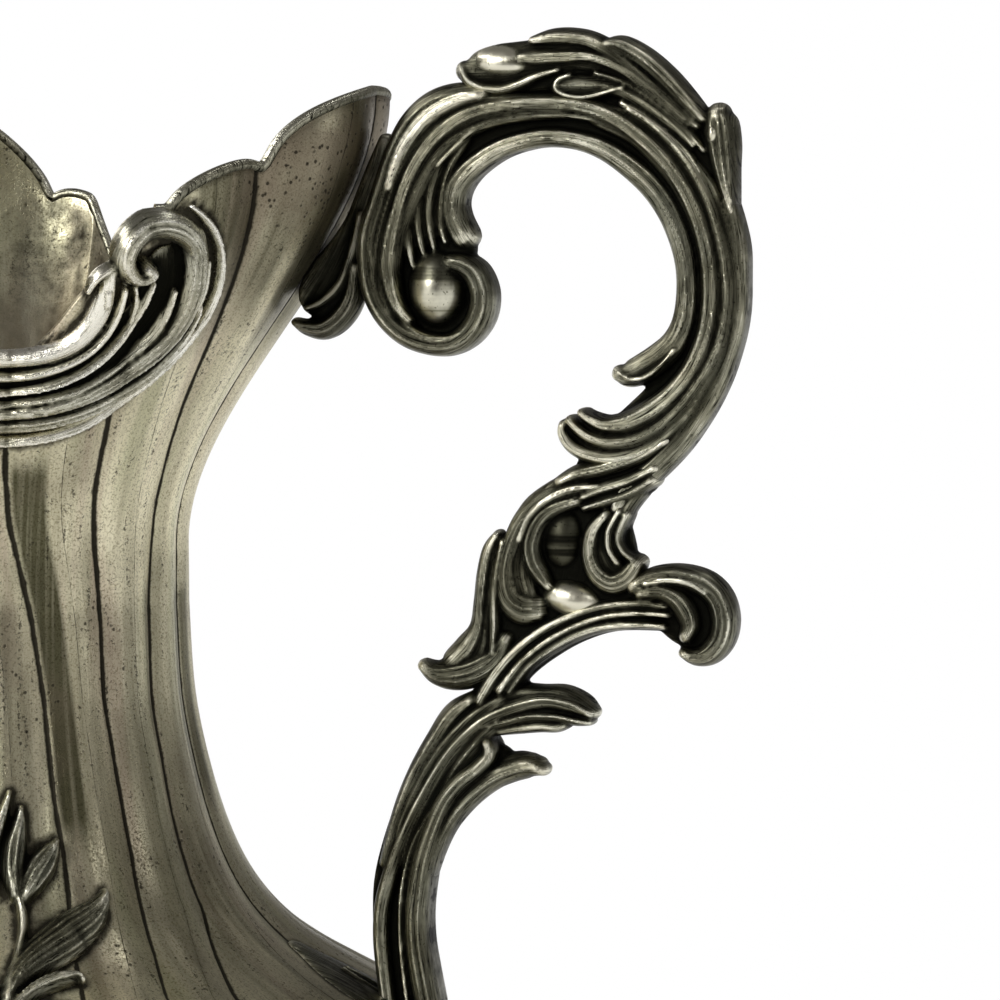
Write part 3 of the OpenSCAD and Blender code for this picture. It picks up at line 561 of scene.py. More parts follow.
def fresh_material(name: str) -> tuple[Material, Graph, Node]:
    """An empty material with its graph and its shader, joined to the output."""
    mat = bpy.data.materials.new(name)
    graph = emptied(mat)
    shader = graph.add("ShaderNodeBsdfPrincipled", {"Metallic": 1.0})
    graph.add("ShaderNodeOutputMaterial", {0: shader})
    return mat, graph, shader


def join(graph: Graph, shader: Node, tone: NodeSocket, rough: NodeSocket, bump: Node) -> None:
    """Joins colour, roughness and relief to a shader."""
    for socket, value in (("Base Color", tone), ("Roughness", rough), ("Normal", bump.outputs[0])):
        graph.tree.links.new(value, shader.inputs[socket])


@dataclass(frozen=True)
class CastPatina:
    """Cast plate gone dark: rubbed bright on its ridges, olive grey on its flats, black in its grooves."""

    name: str = "cast_patina"
    tones: Stops = (
        (0.06, (0.82, 0.80, 0.67)), (0.21, (0.29, 0.285, 0.215)), (0.36, (0.112, 0.110, 0.080)),
        (0.52, (0.052, 0.051, 0.036)), (0.64, (0.018, 0.0175, 0.012)), (0.80, (0.006, 0.006, 0.0045)))
    scratch: float = 0.24
    strand: float = 0.20
    cloud: float = 0.14
    bright_rough: float = 0.33
    dark_rough: float = 0.58

    def build(self) -> Material:
        """Makes the material."""
        mat, g, shader = fresh_material(self.name)
        place = g.add("ShaderNodeTexCoord").outputs["Object"]
        grain = g.read("grain", vector=True)
        clouds = g.noise(place, 140.0, 4.0)
        fine = g.noise(place, 900.0, 2.0)
        lines = g.noise(g.scaled(grain, (0.17, 3.6, 1.0)), 1.0, 3.0, 0.65)
        strands = g.noise(g.scaled(grain, (0.045, 1.0, 1.0)), 1.0, 2.0, 0.5)
        worn = g.swing(clouds, self.cloud * 2)
        rubbed = g.swing(lines, self.scratch * 2)
        combed = g.swing(strands, self.strand * 2)
        scored = g.times(g.spread(lines, 0.57, 0.66), 0.26)
        # The hollow attribute also brings in the painted shade and painted highlights set on the strokes.
        depth = g.plus(g.plus(g.read("hollow"), worn), g.plus(rubbed, combed))
        depth = g.plus(depth, scored)
        speck = g.spread(g.noise(place, 1500.0, 1.0), 0.66, 0.72)
        depth = g.plus(depth, g.times(speck, 0.12))
        tone = g.ramp(depth, self.tones)
        tint = g.spread(g.noise(place, 55.0, 2.0), 0.4, 0.65)
        tone = g.blend(g.times(tint, 0.30), tone, (0.98, 0.90, 0.74), "MULTIPLY")
        rough = g.spread(depth, 0.34, 0.66, self.bright_rough, self.dark_rough)
        rough = g.plus(rough, g.swing(fine, 0.16))
        height = g.plus(g.times(lines, -1.6), g.times(fine, 0.5))
        height = g.minus(height, g.times(strands, 1.2))
        bump = g.add("ShaderNodeBump", {"Strength": 0.6, "Distance": 0.00016, "Height": height})
        join(g, shader, tone, rough, bump)
        return mat


@dataclass(frozen=True)
class RaisedPlate:
    """Raised sheet plate: warm grey with soft upright streaks, dark creases, pits where grime gathers,
    tarnish, and painted shade in bands, in patches and beside the ornaments.
    """

    name: str = "raised_plate"
    light: Colour = (0.94, 0.88, 0.65)
    mid: Colour = (0.60, 0.555, 0.39)
    rosy: Colour = (0.56, 0.42, 0.34)
    green: Colour = (0.66, 0.65, 0.43)
    olive: Colour = (0.105, 0.098, 0.056)
    dark: Colour = (0.024, 0.021, 0.015)
    tarnish: Colour = (0.20, 0.165, 0.115)
    rough: float = 0.36
    calm_z: float = VESSEL.neck_z * MM + 0.024
    mouth_z: float = VESSEL.neck_z * MM + 0.068

    def build(self) -> Material:
        """Makes the material."""
        mat, g, shader = fresh_material(self.name)
        place = g.add("ShaderNodeTexCoord").outputs["Object"]
        flow = g.read("flow", vector=True)
        broad = g.noise(g.scaled(flow, (4.0, 4.0, 1.6)), 1.0, 3.0, 0.6)
        streaks = g.noise(g.scaled(flow, (16.0, 16.0, 1.3)), 1.0, 4.0, 0.6)
        hairs = g.noise(g.scaled(flow, (150.0, 150.0, 9.0)), 1.0, 3.0, 0.6)
        hue = g.noise(g.scaled(flow, (6.0, 6.0, 0.9)), 1.0, 2.0)
        mixed = g.plus(broad, g.times(streaks, 0.5))
        tone = g.blend(g.spread(mixed, 0.58, 0.92), self.mid, self.light)
        tone = g.blend(g.spread(hue, 0.55, 0.72, 0.0, 0.6), tone, self.rosy)
        tone = g.blend(g.spread(hue, 0.47, 0.33, 0.0, 0.6), tone, self.green)
        tone = g.blend(g.spread(hairs, 0.35, 0.65, 0.0, 0.26), tone, (0.50, 0.47, 0.41), "MULTIPLY")
        split = g.add("ShaderNodeSeparateXYZ", {0: place}).outputs
        # Olive sheets lower down the wall: painted shade patches in the flutes.
        low = g.spread(split[2], self.calm_z + 0.006, self.calm_z - 0.04)
        sheets = g.noise(g.scaled(flow, (8.0, 8.0, 0.9)), 1.0, 2.0, 0.5)
        ribbons = g.noise(g.scaled(flow, (34.0, 34.0, 1.1)), 1.0, 2.0, 0.5)
        sheet = g.spread(g.plus(sheets, g.times(ribbons, 0.25)), 0.62, 0.72)
        tone = g.blend(g.times(g.times(sheet, low), 0.30), tone, self.olive)
        # Olive bands from the wall's marks beside the creases: tarnish together with painted dark
        # reflections.
        ragged = g.swing(ribbons, 0.9)
        stained_and_shaded = g.math("MULTIPLY", g.read("stain_and_shade"), g.plus(0.92, ragged), True)
        tone = g.blend(stained_and_shaded, tone, self.olive)
        sand = g.spread(g.noise(place, 2100.0, 3.0, 0.7), 0.50, 0.64, 0.0, 0.62)
        tone = g.blend(sand, tone, (0.30, 0.27, 0.19), "MULTIPLY")
        dirt_and_shade = g.read("dirt_and_shade")
        grime = g.noise(place, 260.0, 5.0, 0.7)
        high = g.spread(split[2], self.mouth_z + 0.002, self.mouth_z + 0.03, 0.0, 1.0)
        high = g.times(high, g.minus(1.0, g.read("inside")))
        patch = g.spread(g.plus(g.noise(place, 34.0, 3.0, 0.6), g.times(high, 0.17)), 0.52, 0.68)
        tone = g.blend(g.times(patch, g.plus(0.42, g.times(high, 0.40))), tone, self.tarnish)
        gather = g.noise(g.scaled(flow, (24.0, 24.0, 6.0)), 1.0, 3.0, 0.6)
        grit = g.spread(g.plus(g.noise(place, 1300.0, 4.0, 0.75), g.times(gather, 0.62)), 0.93, 1.00)
        tone = g.blend(g.times(grit, 0.80), tone, self.dark)
        pits = g.add("ShaderNodeTexVoronoi", {"Vector": place, "Scale": 620.0}).outputs["Distance"]
        pitted = g.spread(pits, 0.30, 0.16)
        spots = g.times(pitted, g.spread(g.plus(grime, g.times(patch, 0.22)), 0.60, 0.68))
        # Darker near the ornaments: grime together with painted shade where the wall meets them.
        stain_and_shade = g.times(g.spread(g.plus(g.times(dirt_and_shade, 0.75), g.times(grime, 0.4)), 0.42, 0.72), 0.95)
        crease = g.plus(g.read("hollow"), g.swing(grime, 0.8))
        black = g.spread(crease, 0.30, 0.62, 0.0, 0.97)
        cover = g.math("MAXIMUM", g.math("MAXIMUM", g.times(spots, 0.8), stain_and_shade), black)
        tone = g.blend(cover, tone, self.dark)
        brown = g.blend(g.spread(broad, 0.40, 0.62), (0.20, 0.16, 0.10), (0.34, 0.31, 0.24))
        veil = g.spread(split[2], self.mouth_z + 0.008, self.mouth_z - 0.012, 0.0, 0.80)
        tone = g.blend(g.times(g.read("inside"), veil), tone, brown)
        rough = g.spread(streaks, 0.3, 0.7, self.rough - 0.06, self.rough + 0.10)
        rough = g.plus(rough, g.times(cover, 0.30))
        height = g.minus(g.plus(g.times(hairs, 0.25), g.times(grime, 0.18)), g.times(spots, 0.8))
        wavy = g.times(g.noise(g.scaled(flow, (9.0, 9.0, 3.0)), 1.0, 1.0), 7.0)
        height = g.minus(g.plus(height, wavy), g.times(sand, 0.35))
        bump = g.add("ShaderNodeBump", {"Strength": 0.5, "Distance": 0.0002, "Height": height})
        join(g, shader, tone, rough, bump)
        return mat


@dataclass(frozen=True)
class MatteStage:
    """Flat colour of the floor or of a card, white to the camera and to mirrors where it is bright."""

    name: str
    colour: Colour
    fade: tuple[float, float] | None = None

    def build(self) -> Material:
        """Makes the material; a fading one turns white for the camera away from the axis."""
        mat, g, shader = fresh_material(self.name)
        shader.inputs["Metallic"].default_value = 0.0
        shader.inputs["Base Color"].default_value = (*self.colour, 1.0)
        shader.inputs["Roughness"].default_value = 0.9
        shader.inputs["Specular IOR Level"].default_value = 0.1
        if self.fade:
            place = g.add("ShaderNodeTexCoord").outputs["Object"]
            away = g.add("ShaderNodeVectorMath", {0: place}, operation="LENGTH").outputs["Value"]
            path = g.add("ShaderNodeLightPath")
            seen = g.math("MAXIMUM", path.outputs["Is Camera Ray"], path.outputs["Is Glossy Ray"])
            glow = g.add("ShaderNodeEmission", {0: (1, 1, 1, 1), 1: 1.0})
            share = g.times(g.spread(away, *self.fade), seen)
            mixed = g.add("ShaderNodeMixShader", {0: share, 1: shader, 2: glow})
            out = next(n for n in mat.node_tree.nodes if n.type == "OUTPUT_MATERIAL")
            mat.node_tree.links.new(mixed.outputs[0], out.inputs[0])
        return mat


def link(name: str, mesh: Mesh) -> Object:
    """An object at the origin for a mesh."""
    obj = bpy.data.objects.new(name, mesh)
    bpy.context.scene.collection.objects.link(obj)
    return obj


def mesh_of(name: str, verts: Array, faces: list[tuple[int, ...]]) -> Mesh:
    """A mesh in metres from vertices in millimetres, its faces turned outwards."""
    tri = fans(faces)
    a, b, c = (verts[tri[:, i]] for i in range(3))
    if np.einsum("ij,ij->", a, np.cross(b, c)) < 0:
        faces = [f[::-1] for f in faces]
    mesh = bpy.data.meshes.new(name)
    mesh.from_pydata((verts * MM).tolist(), [], [tuple(map(int, f)) for f in faces])
    mesh.update()
    return mesh


def store(mesh: Mesh, name: str, values: Array) -> None:
    """Keeps one number or one vector for each vertex as an attribute."""
    kind, key = ("FLOAT", "value") if values.ndim == 1 else ("FLOAT_VECTOR", "vector")
    layer = mesh.attributes.new(name, kind, "POINT")
    layer.data.foreach_set(key, np.ascontiguousarray(values, np.float32).ravel())


def evaluated(obj: Object) -> Mesh:
    """The object's mesh with its modifiers worked in; the object itself is removed."""
    graph = bpy.context.evaluated_depsgraph_get()
    mesh = bpy.data.meshes.new_from_object(obj.evaluated_get(graph), depsgraph=graph)
    bpy.data.objects.remove(obj)
    return mesh


def finish_piece(name: str, mesh: Mesh, finish: Material, slot: Slot,
                 *nodes: str) -> Object:
    """Makes a piece of a mesh, gives it its finish and hides the CAD nodes that it stands for."""
    mesh.materials.clear()
    mesh.materials.append(finish)
    mesh.polygons.foreach_set("use_smooth", [True] * len(mesh.polygons))
    mesh.update()
    obj = link(name, mesh)
    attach(obj, BODY)
    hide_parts(*nodes)
    log.info("%s: %d faces", name, len(mesh.polygons))
    return obj


def numbers(mesh: Mesh) -> tuple[Array, Array, Array]:
    """Places in millimetres, normals and edges of a mesh."""
    co = np.empty(len(mesh.vertices) * 3, np.float32)
    no = np.empty(len(mesh.vertices) * 3, np.float32)
    ed = np.empty(len(mesh.edges) * 2, np.int32)
    mesh.vertices.foreach_get("co", co)
    mesh.vertex_normals.foreach_get("vector", no)
    mesh.edges.foreach_get("vertices", ed)
    return co.reshape(-1, 3).astype(float) / MM, no.reshape(-1, 3).astype(float), ed.reshape(-1, 2)


@dataclass
class Sculptor:
    """Fuses strokes into one casting and finds its grooves and ridges."""

    voxel: float = 0.42
    soften: int = 3
    ease: float = 0.6
    regain: float = -0.5
    blur: float = 0.7
    reaches: tuple[tuple[int, float], ...] = ((5, 0.85), (22, 1.05), (90, 0.75))

    @staticmethod
    def spread(values: Array, edges: Array, count: Array, share: float) -> Array:
        """Moves each row a share of the way to the mean of its neighbours."""
        a, b = edges.T
        n = len(values)
        mean = np.stack([
            (np.bincount(a, values[b, k], n) + np.bincount(b, values[a, k], n)) / count
            for k in range(values.shape[1])], -1)
        return values + (mean - values) * share

    def fuse(self, name: str, solids: list[Solid]) -> Mesh:
        """Joins the solids into one skin.

        Args:
            name: name of the mesh.
            solids: closed solids that run into each other.

        Returns:
            The mesh, with its hollow and grain attributes.
        """
        offsets = np.cumsum([0] + [len(s.verts) for s in solids])
        verts = np.vstack([s.verts for s in solids])
        faces = [tuple(i + o for i in f) for s, o in zip(solids, offsets) for f in s.faces]
        raw = bpy.data.meshes.new(name)
        raw.from_pydata((verts * MM).tolist(), [], [tuple(map(int, f)) for f in faces])
        obj = link(name, raw)
        mod = obj.modifiers.new("fuse", "REMESH")
        mod.mode, mod.voxel_size, mod.adaptivity = "VOXEL", self.voxel * MM, 0.0
        mesh = evaluated(obj)
        co, _, edges = numbers(mesh)
        count = np.maximum(np.bincount(edges.ravel(), minlength=len(co)), 1)
        for _ in range(self.soften):
            co = self.spread(co, edges, count, self.ease)
            co = self.spread(co, edges, count, self.regain)
        mesh.vertices.foreach_set("co", (co * MM).astype(np.float32).ravel())
        mesh.update()
        tris = fans(faces)
        owner = np.repeat(np.arange(len(solids)), [sum(len(f) - 2 for f in s.faces) for s in solids])
        tree = BVHTree.FromPolygons(verts.tolist(), tris.tolist())
        found = [tree.find_nearest(p) for p in co.tolist()]
        at, face = np.array([f[0] for f in found]), np.array([f[2] for f in found])
        grain = self.weighed(at, verts[tris[face]], np.vstack([s.grain for s in solids])[tris[face]])
        # Each solid's painted light goes into the hollow attribute: dark webs of painted shade, and strokes
        # lightened as painted highlights.
        painted_light = np.array([s.painted_light for s in solids])[owner[face]]
        painted_light = self.spread(painted_light[:, None], edges, count, self.blur)
        painted_light = self.spread(painted_light, edges, count, self.blur)[:, 0]
        store(mesh, "hollow", np.clip(self.hollow(mesh) + painted_light, 0.0, 1.0))
        store(mesh, "grain", grain)
        return mesh

    @staticmethod
    def weighed(at: Array, corners: Array, values: Array) -> Array:
        """Values at places inside triangles, from the values at the triangles' corners.

        Args:
            at: one place for each triangle.
            corners: the triangles' corners.
            values: the rows kept at those corners.

        Returns:
            One row for each place.
        """
        a, b, p = corners[:, 1] - corners[:, 0], corners[:, 2] - corners[:, 0], at - corners[:, 0]
        aa, ab, bb = ((u * w).sum(1) for u, w in ((a, a), (a, b), (b, b)))
        pa, pb = (p * a).sum(1), (p * b).sum(1)
        whole = np.maximum(aa * bb - ab * ab, 1e-12)
        v, w = (bb * pa - ab * pb) / whole, (aa * pb - ab * pa) / whole
        share = np.clip(np.stack([1 - v - w, v, w], -1), 0, 1)
        return (values * share[..., None]).sum(1)

    def hollow(self, mesh: Mesh) -> Array:
        """Half on flats, more in grooves, less on ridges, read over several reaches."""
        co, normal, edges = numbers(mesh)
        count = np.maximum(np.bincount(edges.ravel(), minlength=len(co)), 1)
        p, total, done = co, 0.0, 0
        for rounds, weight in self.reaches:
            for _ in range(rounds - done):
                p = self.spread(p, edges, count, self.blur)
            done = rounds
            depth = ((p - co) * normal).sum(1) / (self.voxel * math.sqrt(rounds))
            total = total + weight * depth
        total = self.spread(total[:, None], edges, count, self.ease)[:, 0]
        return np.clip(0.5 + total, 0.0, 1.0)


def set_inputs(obj: Object, tree: NodeTree, values: dict[str, object]) -> None:
    """Hangs a Geometry Nodes tree on an object and sets its named inputs by their identifiers."""
    mod = obj.modifiers.new("nodes", "NODES")
    mod.node_group = tree
    for item in tree.interface.items_tree:
        if item.item_type == "SOCKET" and item.in_out == "INPUT" and item.name in values:
            mod[item.identifier] = values[item.name]


def new_tree(name: str, **inputs: str) -> tuple[Graph, Sockets, Node]:
    """A Geometry Nodes tree with a mesh going in and out, and the other named inputs.

    Args:
        name: name of the tree.
        **inputs: kind of socket of each further input, by its name.

    Returns:
        Its graph, what it is given, by name, and its output node.
    """
    tree = bpy.data.node_groups.new(name, "GeometryNodeTree")
    tree.interface.new_socket("Geometry", in_out="INPUT", socket_type="NodeSocketGeometry")
    for key, kind in inputs.items():
        tree.interface.new_socket(key, in_out="INPUT", socket_type=f"NodeSocket{kind}")
    tree.interface.new_socket("Geometry", in_out="OUTPUT", socket_type="NodeSocketGeometry")
    return Graph(tree), tree.nodes.new("NodeGroupInput").outputs, tree.nodes.new("NodeGroupOutput")


def close_tree(g: Graph, given: Sockets, out: Node, shape: Node) -> NodeTree:
    """Ends a tree in Realize Instances and Set Material, with the material from its Finish input."""
    real = g.add("GeometryNodeRealizeInstances", {0: shape})
    dressed = g.add("GeometryNodeSetMaterial", {
        "Geometry": real, "Material": given["Finish"]})
    g.tree.links.new(dressed.outputs[0], out.inputs[0])
    return g.tree


def fluting_tree() -> NodeTree:
    """Presses flutes into a round shell: every point moves towards the axis by the crease at its angle."""
    g, given, out = new_tree("fluting", Flutes="Float", Turn="Float", Crease="Float", Power="Float",
                              Finish="Material")
    x, y, z = g.add("ShaderNodeSeparateXYZ", {0: g.add("GeometryNodeInputPosition")}).outputs
    angle = g.plus(g.plus(g.math("ARCTAN2", y, x), given["Turn"]), g.read_named("lean"))
    wave = g.math("SINE", g.times(g.times(angle, given["Flutes"]), 0.5))
    crease = g.minus(1.0, g.math("POWER", g.math("ABSOLUTE", wave), given["Power"]))
    depth = g.times(crease, given["Crease"])
    keep = g.minus(1.0, g.times(depth, g.read_named("swell")))
    moved = g.add("ShaderNodeCombineXYZ", {0: g.times(x, keep), 1: g.times(y, keep), 2: z})
    shape = g.add("GeometryNodeSetPosition", {
        "Geometry": given["Geometry"], "Position": moved})
    return close_tree(g, given, out, shape)


def wire_tree() -> NodeTree:
    """Runs a round wire along a polyline."""
    g, given, out = new_tree("wire", Radius="Float", Sides="Int", Finish="Material")
    line = g.add("GeometryNodeMeshToCurve", {0: given["Geometry"]})
    ring = g.add("GeometryNodeCurvePrimitiveCircle", {"Resolution": given["Sides"],
                                                     "Radius": given["Radius"]})
    wire = g.add("GeometryNodeCurveToMesh", {"Curve": line, "Profile Curve": ring,
                                             "Fill Caps": True})
    return close_tree(g, given, out, wire)


def flower_tree() -> NodeTree:
    """Sets petals round the middle of a flower, each turned to point outwards."""
    g, given, out = new_tree("flower", Petals="Int", Reach="Float", Start="Float", Finish="Material")
    line = g.add("GeometryNodeMeshLine", {"Count": given["Petals"], "Offset": (0, 0, 0)})
    index = g.add("GeometryNodeInputIndex")
    share = g.math("DIVIDE", index, given["Petals"])
    turn = g.plus(g.times(share, 2 * math.pi), given["Start"])
    spin = g.add("ShaderNodeCombineXYZ", {2: turn})
    petals = g.add("GeometryNodeInstanceOnPoints", {
        "Points": line, "Instance": given["Geometry"], "Rotation": spin})
    grown = g.add("GeometryNodeScaleInstances", {
        "Instances": petals, "Scale": given["Reach"]})
    return close_tree(g, given, out, grown)


# Tarnish and painted dark reflections on the wall, in bands beside the creases: flute, start and stop across
# it, height from and to, strength.
STAIN_AND_SHADE_BANDS = (
    (0, 0.02, 0.40, 180, 238, 0.85), (0, 0.74, 0.92, 148, 190, 0.5), (1, 0.02, 0.20, 196, 238, 0.85),
    (1, 0.70, 0.95, 186, 214, 0.5), (1, 0.34, 0.5, 140, 196, 0.5), (2, 0.56, 0.975, 176, 266, 1.05),
    (2, 0.68, 0.97, 136, 180, 0.45), (3, 0.15, 0.45, 146, 236, 0.5), (3, 0.80, 0.95, 190, 250, 0.6),
    (4, 0.55, 0.96, 150, 255, 0.8), (5, 0.05, 0.30, 165, 240, 0.7), (5, 0.70, 0.95, 146, 215, 0.5),
    (6, 0.50, 0.90, 180, 260, 0.7), (7, 0.10, 0.45, 150, 225, 0.6), (7, 0.80, 0.97, 190, 250, 0.5),
    (0, -0.05, 0.55, 282, 352, 0.80), (0, 0.62, 1.05, 290, 350, 0.75), (1, -0.05, 0.60, 284, 350, 0.85),
    (1, 0.68, 0.92, 296, 340, 0.6), (2, 0.14, 0.46, 276, 324, 0.50), (0, -0.05, 1.05, 128, 244, 0.34),
    (1, -0.05, 1.05, 128, 236, 0.30),
)


@dataclass
class Shells:
    """The raised shells: lower bowl, upper body with neck and mouth, and the domed foot."""

    finish: Material
    line_depth: float = 0.56
    line_half: float = 1.2
    lap_h: float = 4.0
    lap_t: float = 1.2
    gap: float = 0.3
    foot_crease: float = 0.06
    foot_wall: float = 2.6

    FOOT_SHARES = ((0, 0.97), (0.1, 0.95), (0.26, 0.8), (0.42, 0.56), (0.6, 0.3), (0.78, 0.12), (1, 0))
    COLUMN_SHARES = (
        0, 0.014, 0.034, 0.065, 0.11, 0.17, 0.24, 0.31, 0.37, 0.405, 0.42, 0.435, 0.48, 0.55, 0.62, 0.70,
        0.78, 0.85, 0.91, 0.95, 0.975, 0.99)
    LINE_SHARE = 0.42
    STEEPEST = 3.5
    @classmethod
    def stain_and_shade_bands(cls, phi: Array, z: Array) -> Array:
        """How dark the wall is made, in long patches beside the creases, alike on both sides: tarnish
        together with painted dark reflections.

        Args:
            phi: angles of the columns on an even wall.
            z: heights of the rows over the columns.

        Returns:
            A share for each point.
        """
        at = np.minimum(phi, 360 - phi) * VESSEL.flutes / 360
        total = 0 * z
        for flute, start, stop, low, high, strength in STAIN_AND_SHADE_BANDS:
            u = at[None] - flute
            across = np.clip((u - start) / 0.05, 0, 1) * np.clip((stop - u) / 0.05, 0, 1)
            along = np.clip((z - low) / 12, 0, 1) * np.clip((high - z) / 5, 0, 1)
            total = np.maximum(total, across * along * strength)
        return total

    def __post_init__(self) -> None:
        """Sets the columns' angles, closest by the creases and chased lines, and the fluting tree."""
        one = np.array(self.COLUMN_SHARES)
        self.phi = np.concatenate([(k + one) * 360 / VESSEL.flutes for k in range(VESSEL.flutes)])
        self.line = np.tile(np.where(np.isclose(one, self.LINE_SHARE), self.line_depth, 0.0), VESSEL.flutes)
        self.tree = fluting_tree()

    def shell(self, name: str, rings: list[tuple[Array, Array, float]], node: str, closed: bool,
              turn: float = 0.0, crease: float | None = None) -> Object:
        """Skins round rings and presses the flutes into them.

        Args:
            name: name of the piece.
            rings: radius and height over the columns, and one on the inner side, zero on the outer.
            node: CAD node that it stands for.
            closed: joins the last ring to the first, otherwise both ends are closed over the axis.
            turn: angle in degrees by which the creases are turned.
            crease: depth of the creases as a share of the radius.

        Returns:
            The piece.
        """
        n = len(self.phi)
        phi = self.phi - turn
        radii = np.stack([r + 0 * phi for r, _, _ in rings])
        tall = np.stack([z + 0 * phi for _, z, _ in rings])
        lean = VESSEL.lean(tall, phi[None]) if crease is None else 0 * tall
        a = np.radians(phi[None] + lean)
        verts = np.stack([radii * np.cos(a), -radii * np.sin(a), tall], -1)
        mid_r, mid_z = radii.mean(1), tall.mean(1)
        run = np.concatenate([[0], np.cumsum(np.hypot(np.diff(mid_r), np.diff(mid_z)))])
        flat = verts.reshape(-1, 3)
        pitch = 360 / VESSEL.flutes
        off = np.abs((phi + turn + pitch / 2) % pitch - pitch / 2)
        inside = np.repeat([float(side) for _, _, side in rings], n)
        creased = np.clip(1 - np.radians(off)[None] * radii / self.line_half, 0, 1)
        hollow = np.maximum(creased, self.line[None]).ravel() * (1 - 0.7 * inside)
        # Tarnish and painted dark reflections in bands beside the creases, on the outer wall only.
        stain_and_shade = self.stain_and_shade_bands(phi, tall).ravel() * (1 - inside) * (crease is None)
        flow = np.stack([np.cos(a).ravel(), np.sin(a).ravel(), np.repeat(run / 100, n)], -1)
        if not closed:
            flat = np.vstack([flat, [[0, 0, mid_z[0]], [0, 0, mid_z[-1]]]])
            hollow, inside = np.append(hollow, [0, 0]), np.append(inside, [rings[0][2], rings[-1][2]])
            stain_and_shade = np.append(stain_and_shade, [0, 0])
            flow = np.vstack([flow, [[0, 0, 0], [0, 0, run[-1] / 100]]])
        mesh = mesh_of(name, flat, ring_faces(len(rings), n, closed))
        swell = np.ones(len(flat))
        if crease is not None:
            beyond = np.hypot(flat[:, 0], flat[:, 1]) - VESSEL.stem_r
            swell = np.clip(beyond / (VESSEL.foot_r - VESSEL.stem_r), 0, 1)
        leaning = np.append(np.radians(lean).ravel(), np.zeros(len(flat) - lean.size))
        for key, values in (("hollow", hollow), ("inside", inside), ("stain_and_shade", stain_and_shade), ("flow", flow),
                            ("swell", swell), ("lean", leaning)):
            store(mesh, key, values)
        obj = link(name + "_round", mesh)
        set_inputs(obj, self.tree, {
            "Flutes": float(VESSEL.flutes), "Turn": math.radians(-turn),
            "Crease": VESSEL.crease_share if crease is None else crease,
            "Power": VESSEL.crease_power, "Finish": self.finish})
        return finish_piece(name, evaluated(obj), self.finish, Slot.SHELL, node)

    @staticmethod
    def inset(r: Array, z: Array, wall: float) -> Array:
        """Radii moved in so that a wall of even thickness is left, from a profile over rows."""
        slope = np.gradient(r) / np.where(np.abs(np.gradient(z)) < 1e-6, 1e-6, np.gradient(z))
        return r - wall * np.minimum(np.sqrt(1 + slope**2), Shells.STEEPEST)

    def neck(self) -> Object:
        """The upper body, the neck and the scalloped mouth, with its inner wall."""
        v = VESSEL
        low = v.girth_z + (v.neck_z - v.girth_z) * np.linspace(0, 1, 78)
        up = np.linspace(0, 1, 62)[1:]
        rim = v.rim_z(self.phi)
        for _ in range(3):
            rim = v.rim_z(self.phi + v.lean(rim, self.phi))

        def radius(z: Array) -> Array:
            return v.round_r(z, self.phi + v.lean(z, self.phi))

        def wall_in(z: Array) -> Array:
            slope = radius(z + 0.5) - radius(z - 0.5)
            return v.wall * np.minimum(np.sqrt(1 + slope**2), self.STEEPEST)

        heights = [np.full(len(self.phi), z) for z in low] + [v.neck_z + s * (rim - v.neck_z) for s in up]
        outer = [(radius(z), z, 0.0) for z in heights]
        edge = [(radius(rim) - wall_in(rim) * s, rim + lift * v.wall, 0.5)
                for s, lift in ((0.15, 0.28), (0.5, 0.42), (0.85, 0.28))]
        inner = [(radius(z) - wall_in(z), z, 1.0) for z in heights[::-2]]
        inner.append((radius(heights[0]) - v.wall, heights[0], 1.0))
        return self.shell("upper_body_and_neck", outer + edge + inner, "neck_shell", closed=True)

    def bowl(self) -> Object:
        """The lower half of the body with its lap inside the seam, open to the neck above."""
        v = VESSEL
        one = np.ones(len(self.phi))
        z = v.bowl_z + (v.girth_z - v.bowl_z) * (np.linspace(0, 1, 60) ** 1.25)
        r = np.interp(z, v.profile[:, 0], v.profile[:, 1])
        inner_r = self.inset(r, z, v.wall)
        lap_in = v.wall + 2 * self.gap
        up, down = v.girth_z + self.lap_h, v.girth_z - self.lap_h
        lap = [(np.interp(h, v.profile[:, 0], v.profile[:, 1]) - inset, h) for inset, h in
               ((lap_in, v.girth_z), (lap_in, up), (lap_in + self.lap_t, up), (lap_in + self.lap_t, down))]
        keep = (z < down - 1) & (z > v.bowl_z + v.wall)
        rings = [(one * a, one * b, 0.0) for a, b in zip(r, z)]
        rings += [(one * a, one * b, 1.0) for a, b in lap]
        rings += [(one * a, one * b, 1.0) for a, b in list(zip(inner_r[keep], z[keep]))[::-2]]
        rings.append((one * v.bowl_flat_r * 0.8, one * (v.bowl_z + v.wall), 1.0))
        return self.shell("lower_body", rings, "bowl_shell", closed=False)

    def foot(self) -> Object:
        """The lobed dome of the foot, a thin shell on its ring."""
        v = VESSEL
        one = np.ones(len(self.phi))
        lip = v.foot_r - 0.2 * v.foot_ring_z
        tall = v.foot_top_z - v.foot_ring_z
        rows = curve_through(np.array([(v.foot_ring_z + s * tall, v.stem_r + w * (lip - v.stem_r))
                                       for s, w in self.FOOT_SHARES]), 9)
        outer = [(one * r, one * z, 0.0) for z, r in rows]
        inner = [(one * (r - self.foot_wall), one * z, 1.0) for z, r in rows[::-3]]
        half_pitch = 180 / v.flutes
        return self.shell("domed_foot", outer + inner, "foot_dome", closed=True, turn=half_pitch,
                          crease=self.foot_crease)


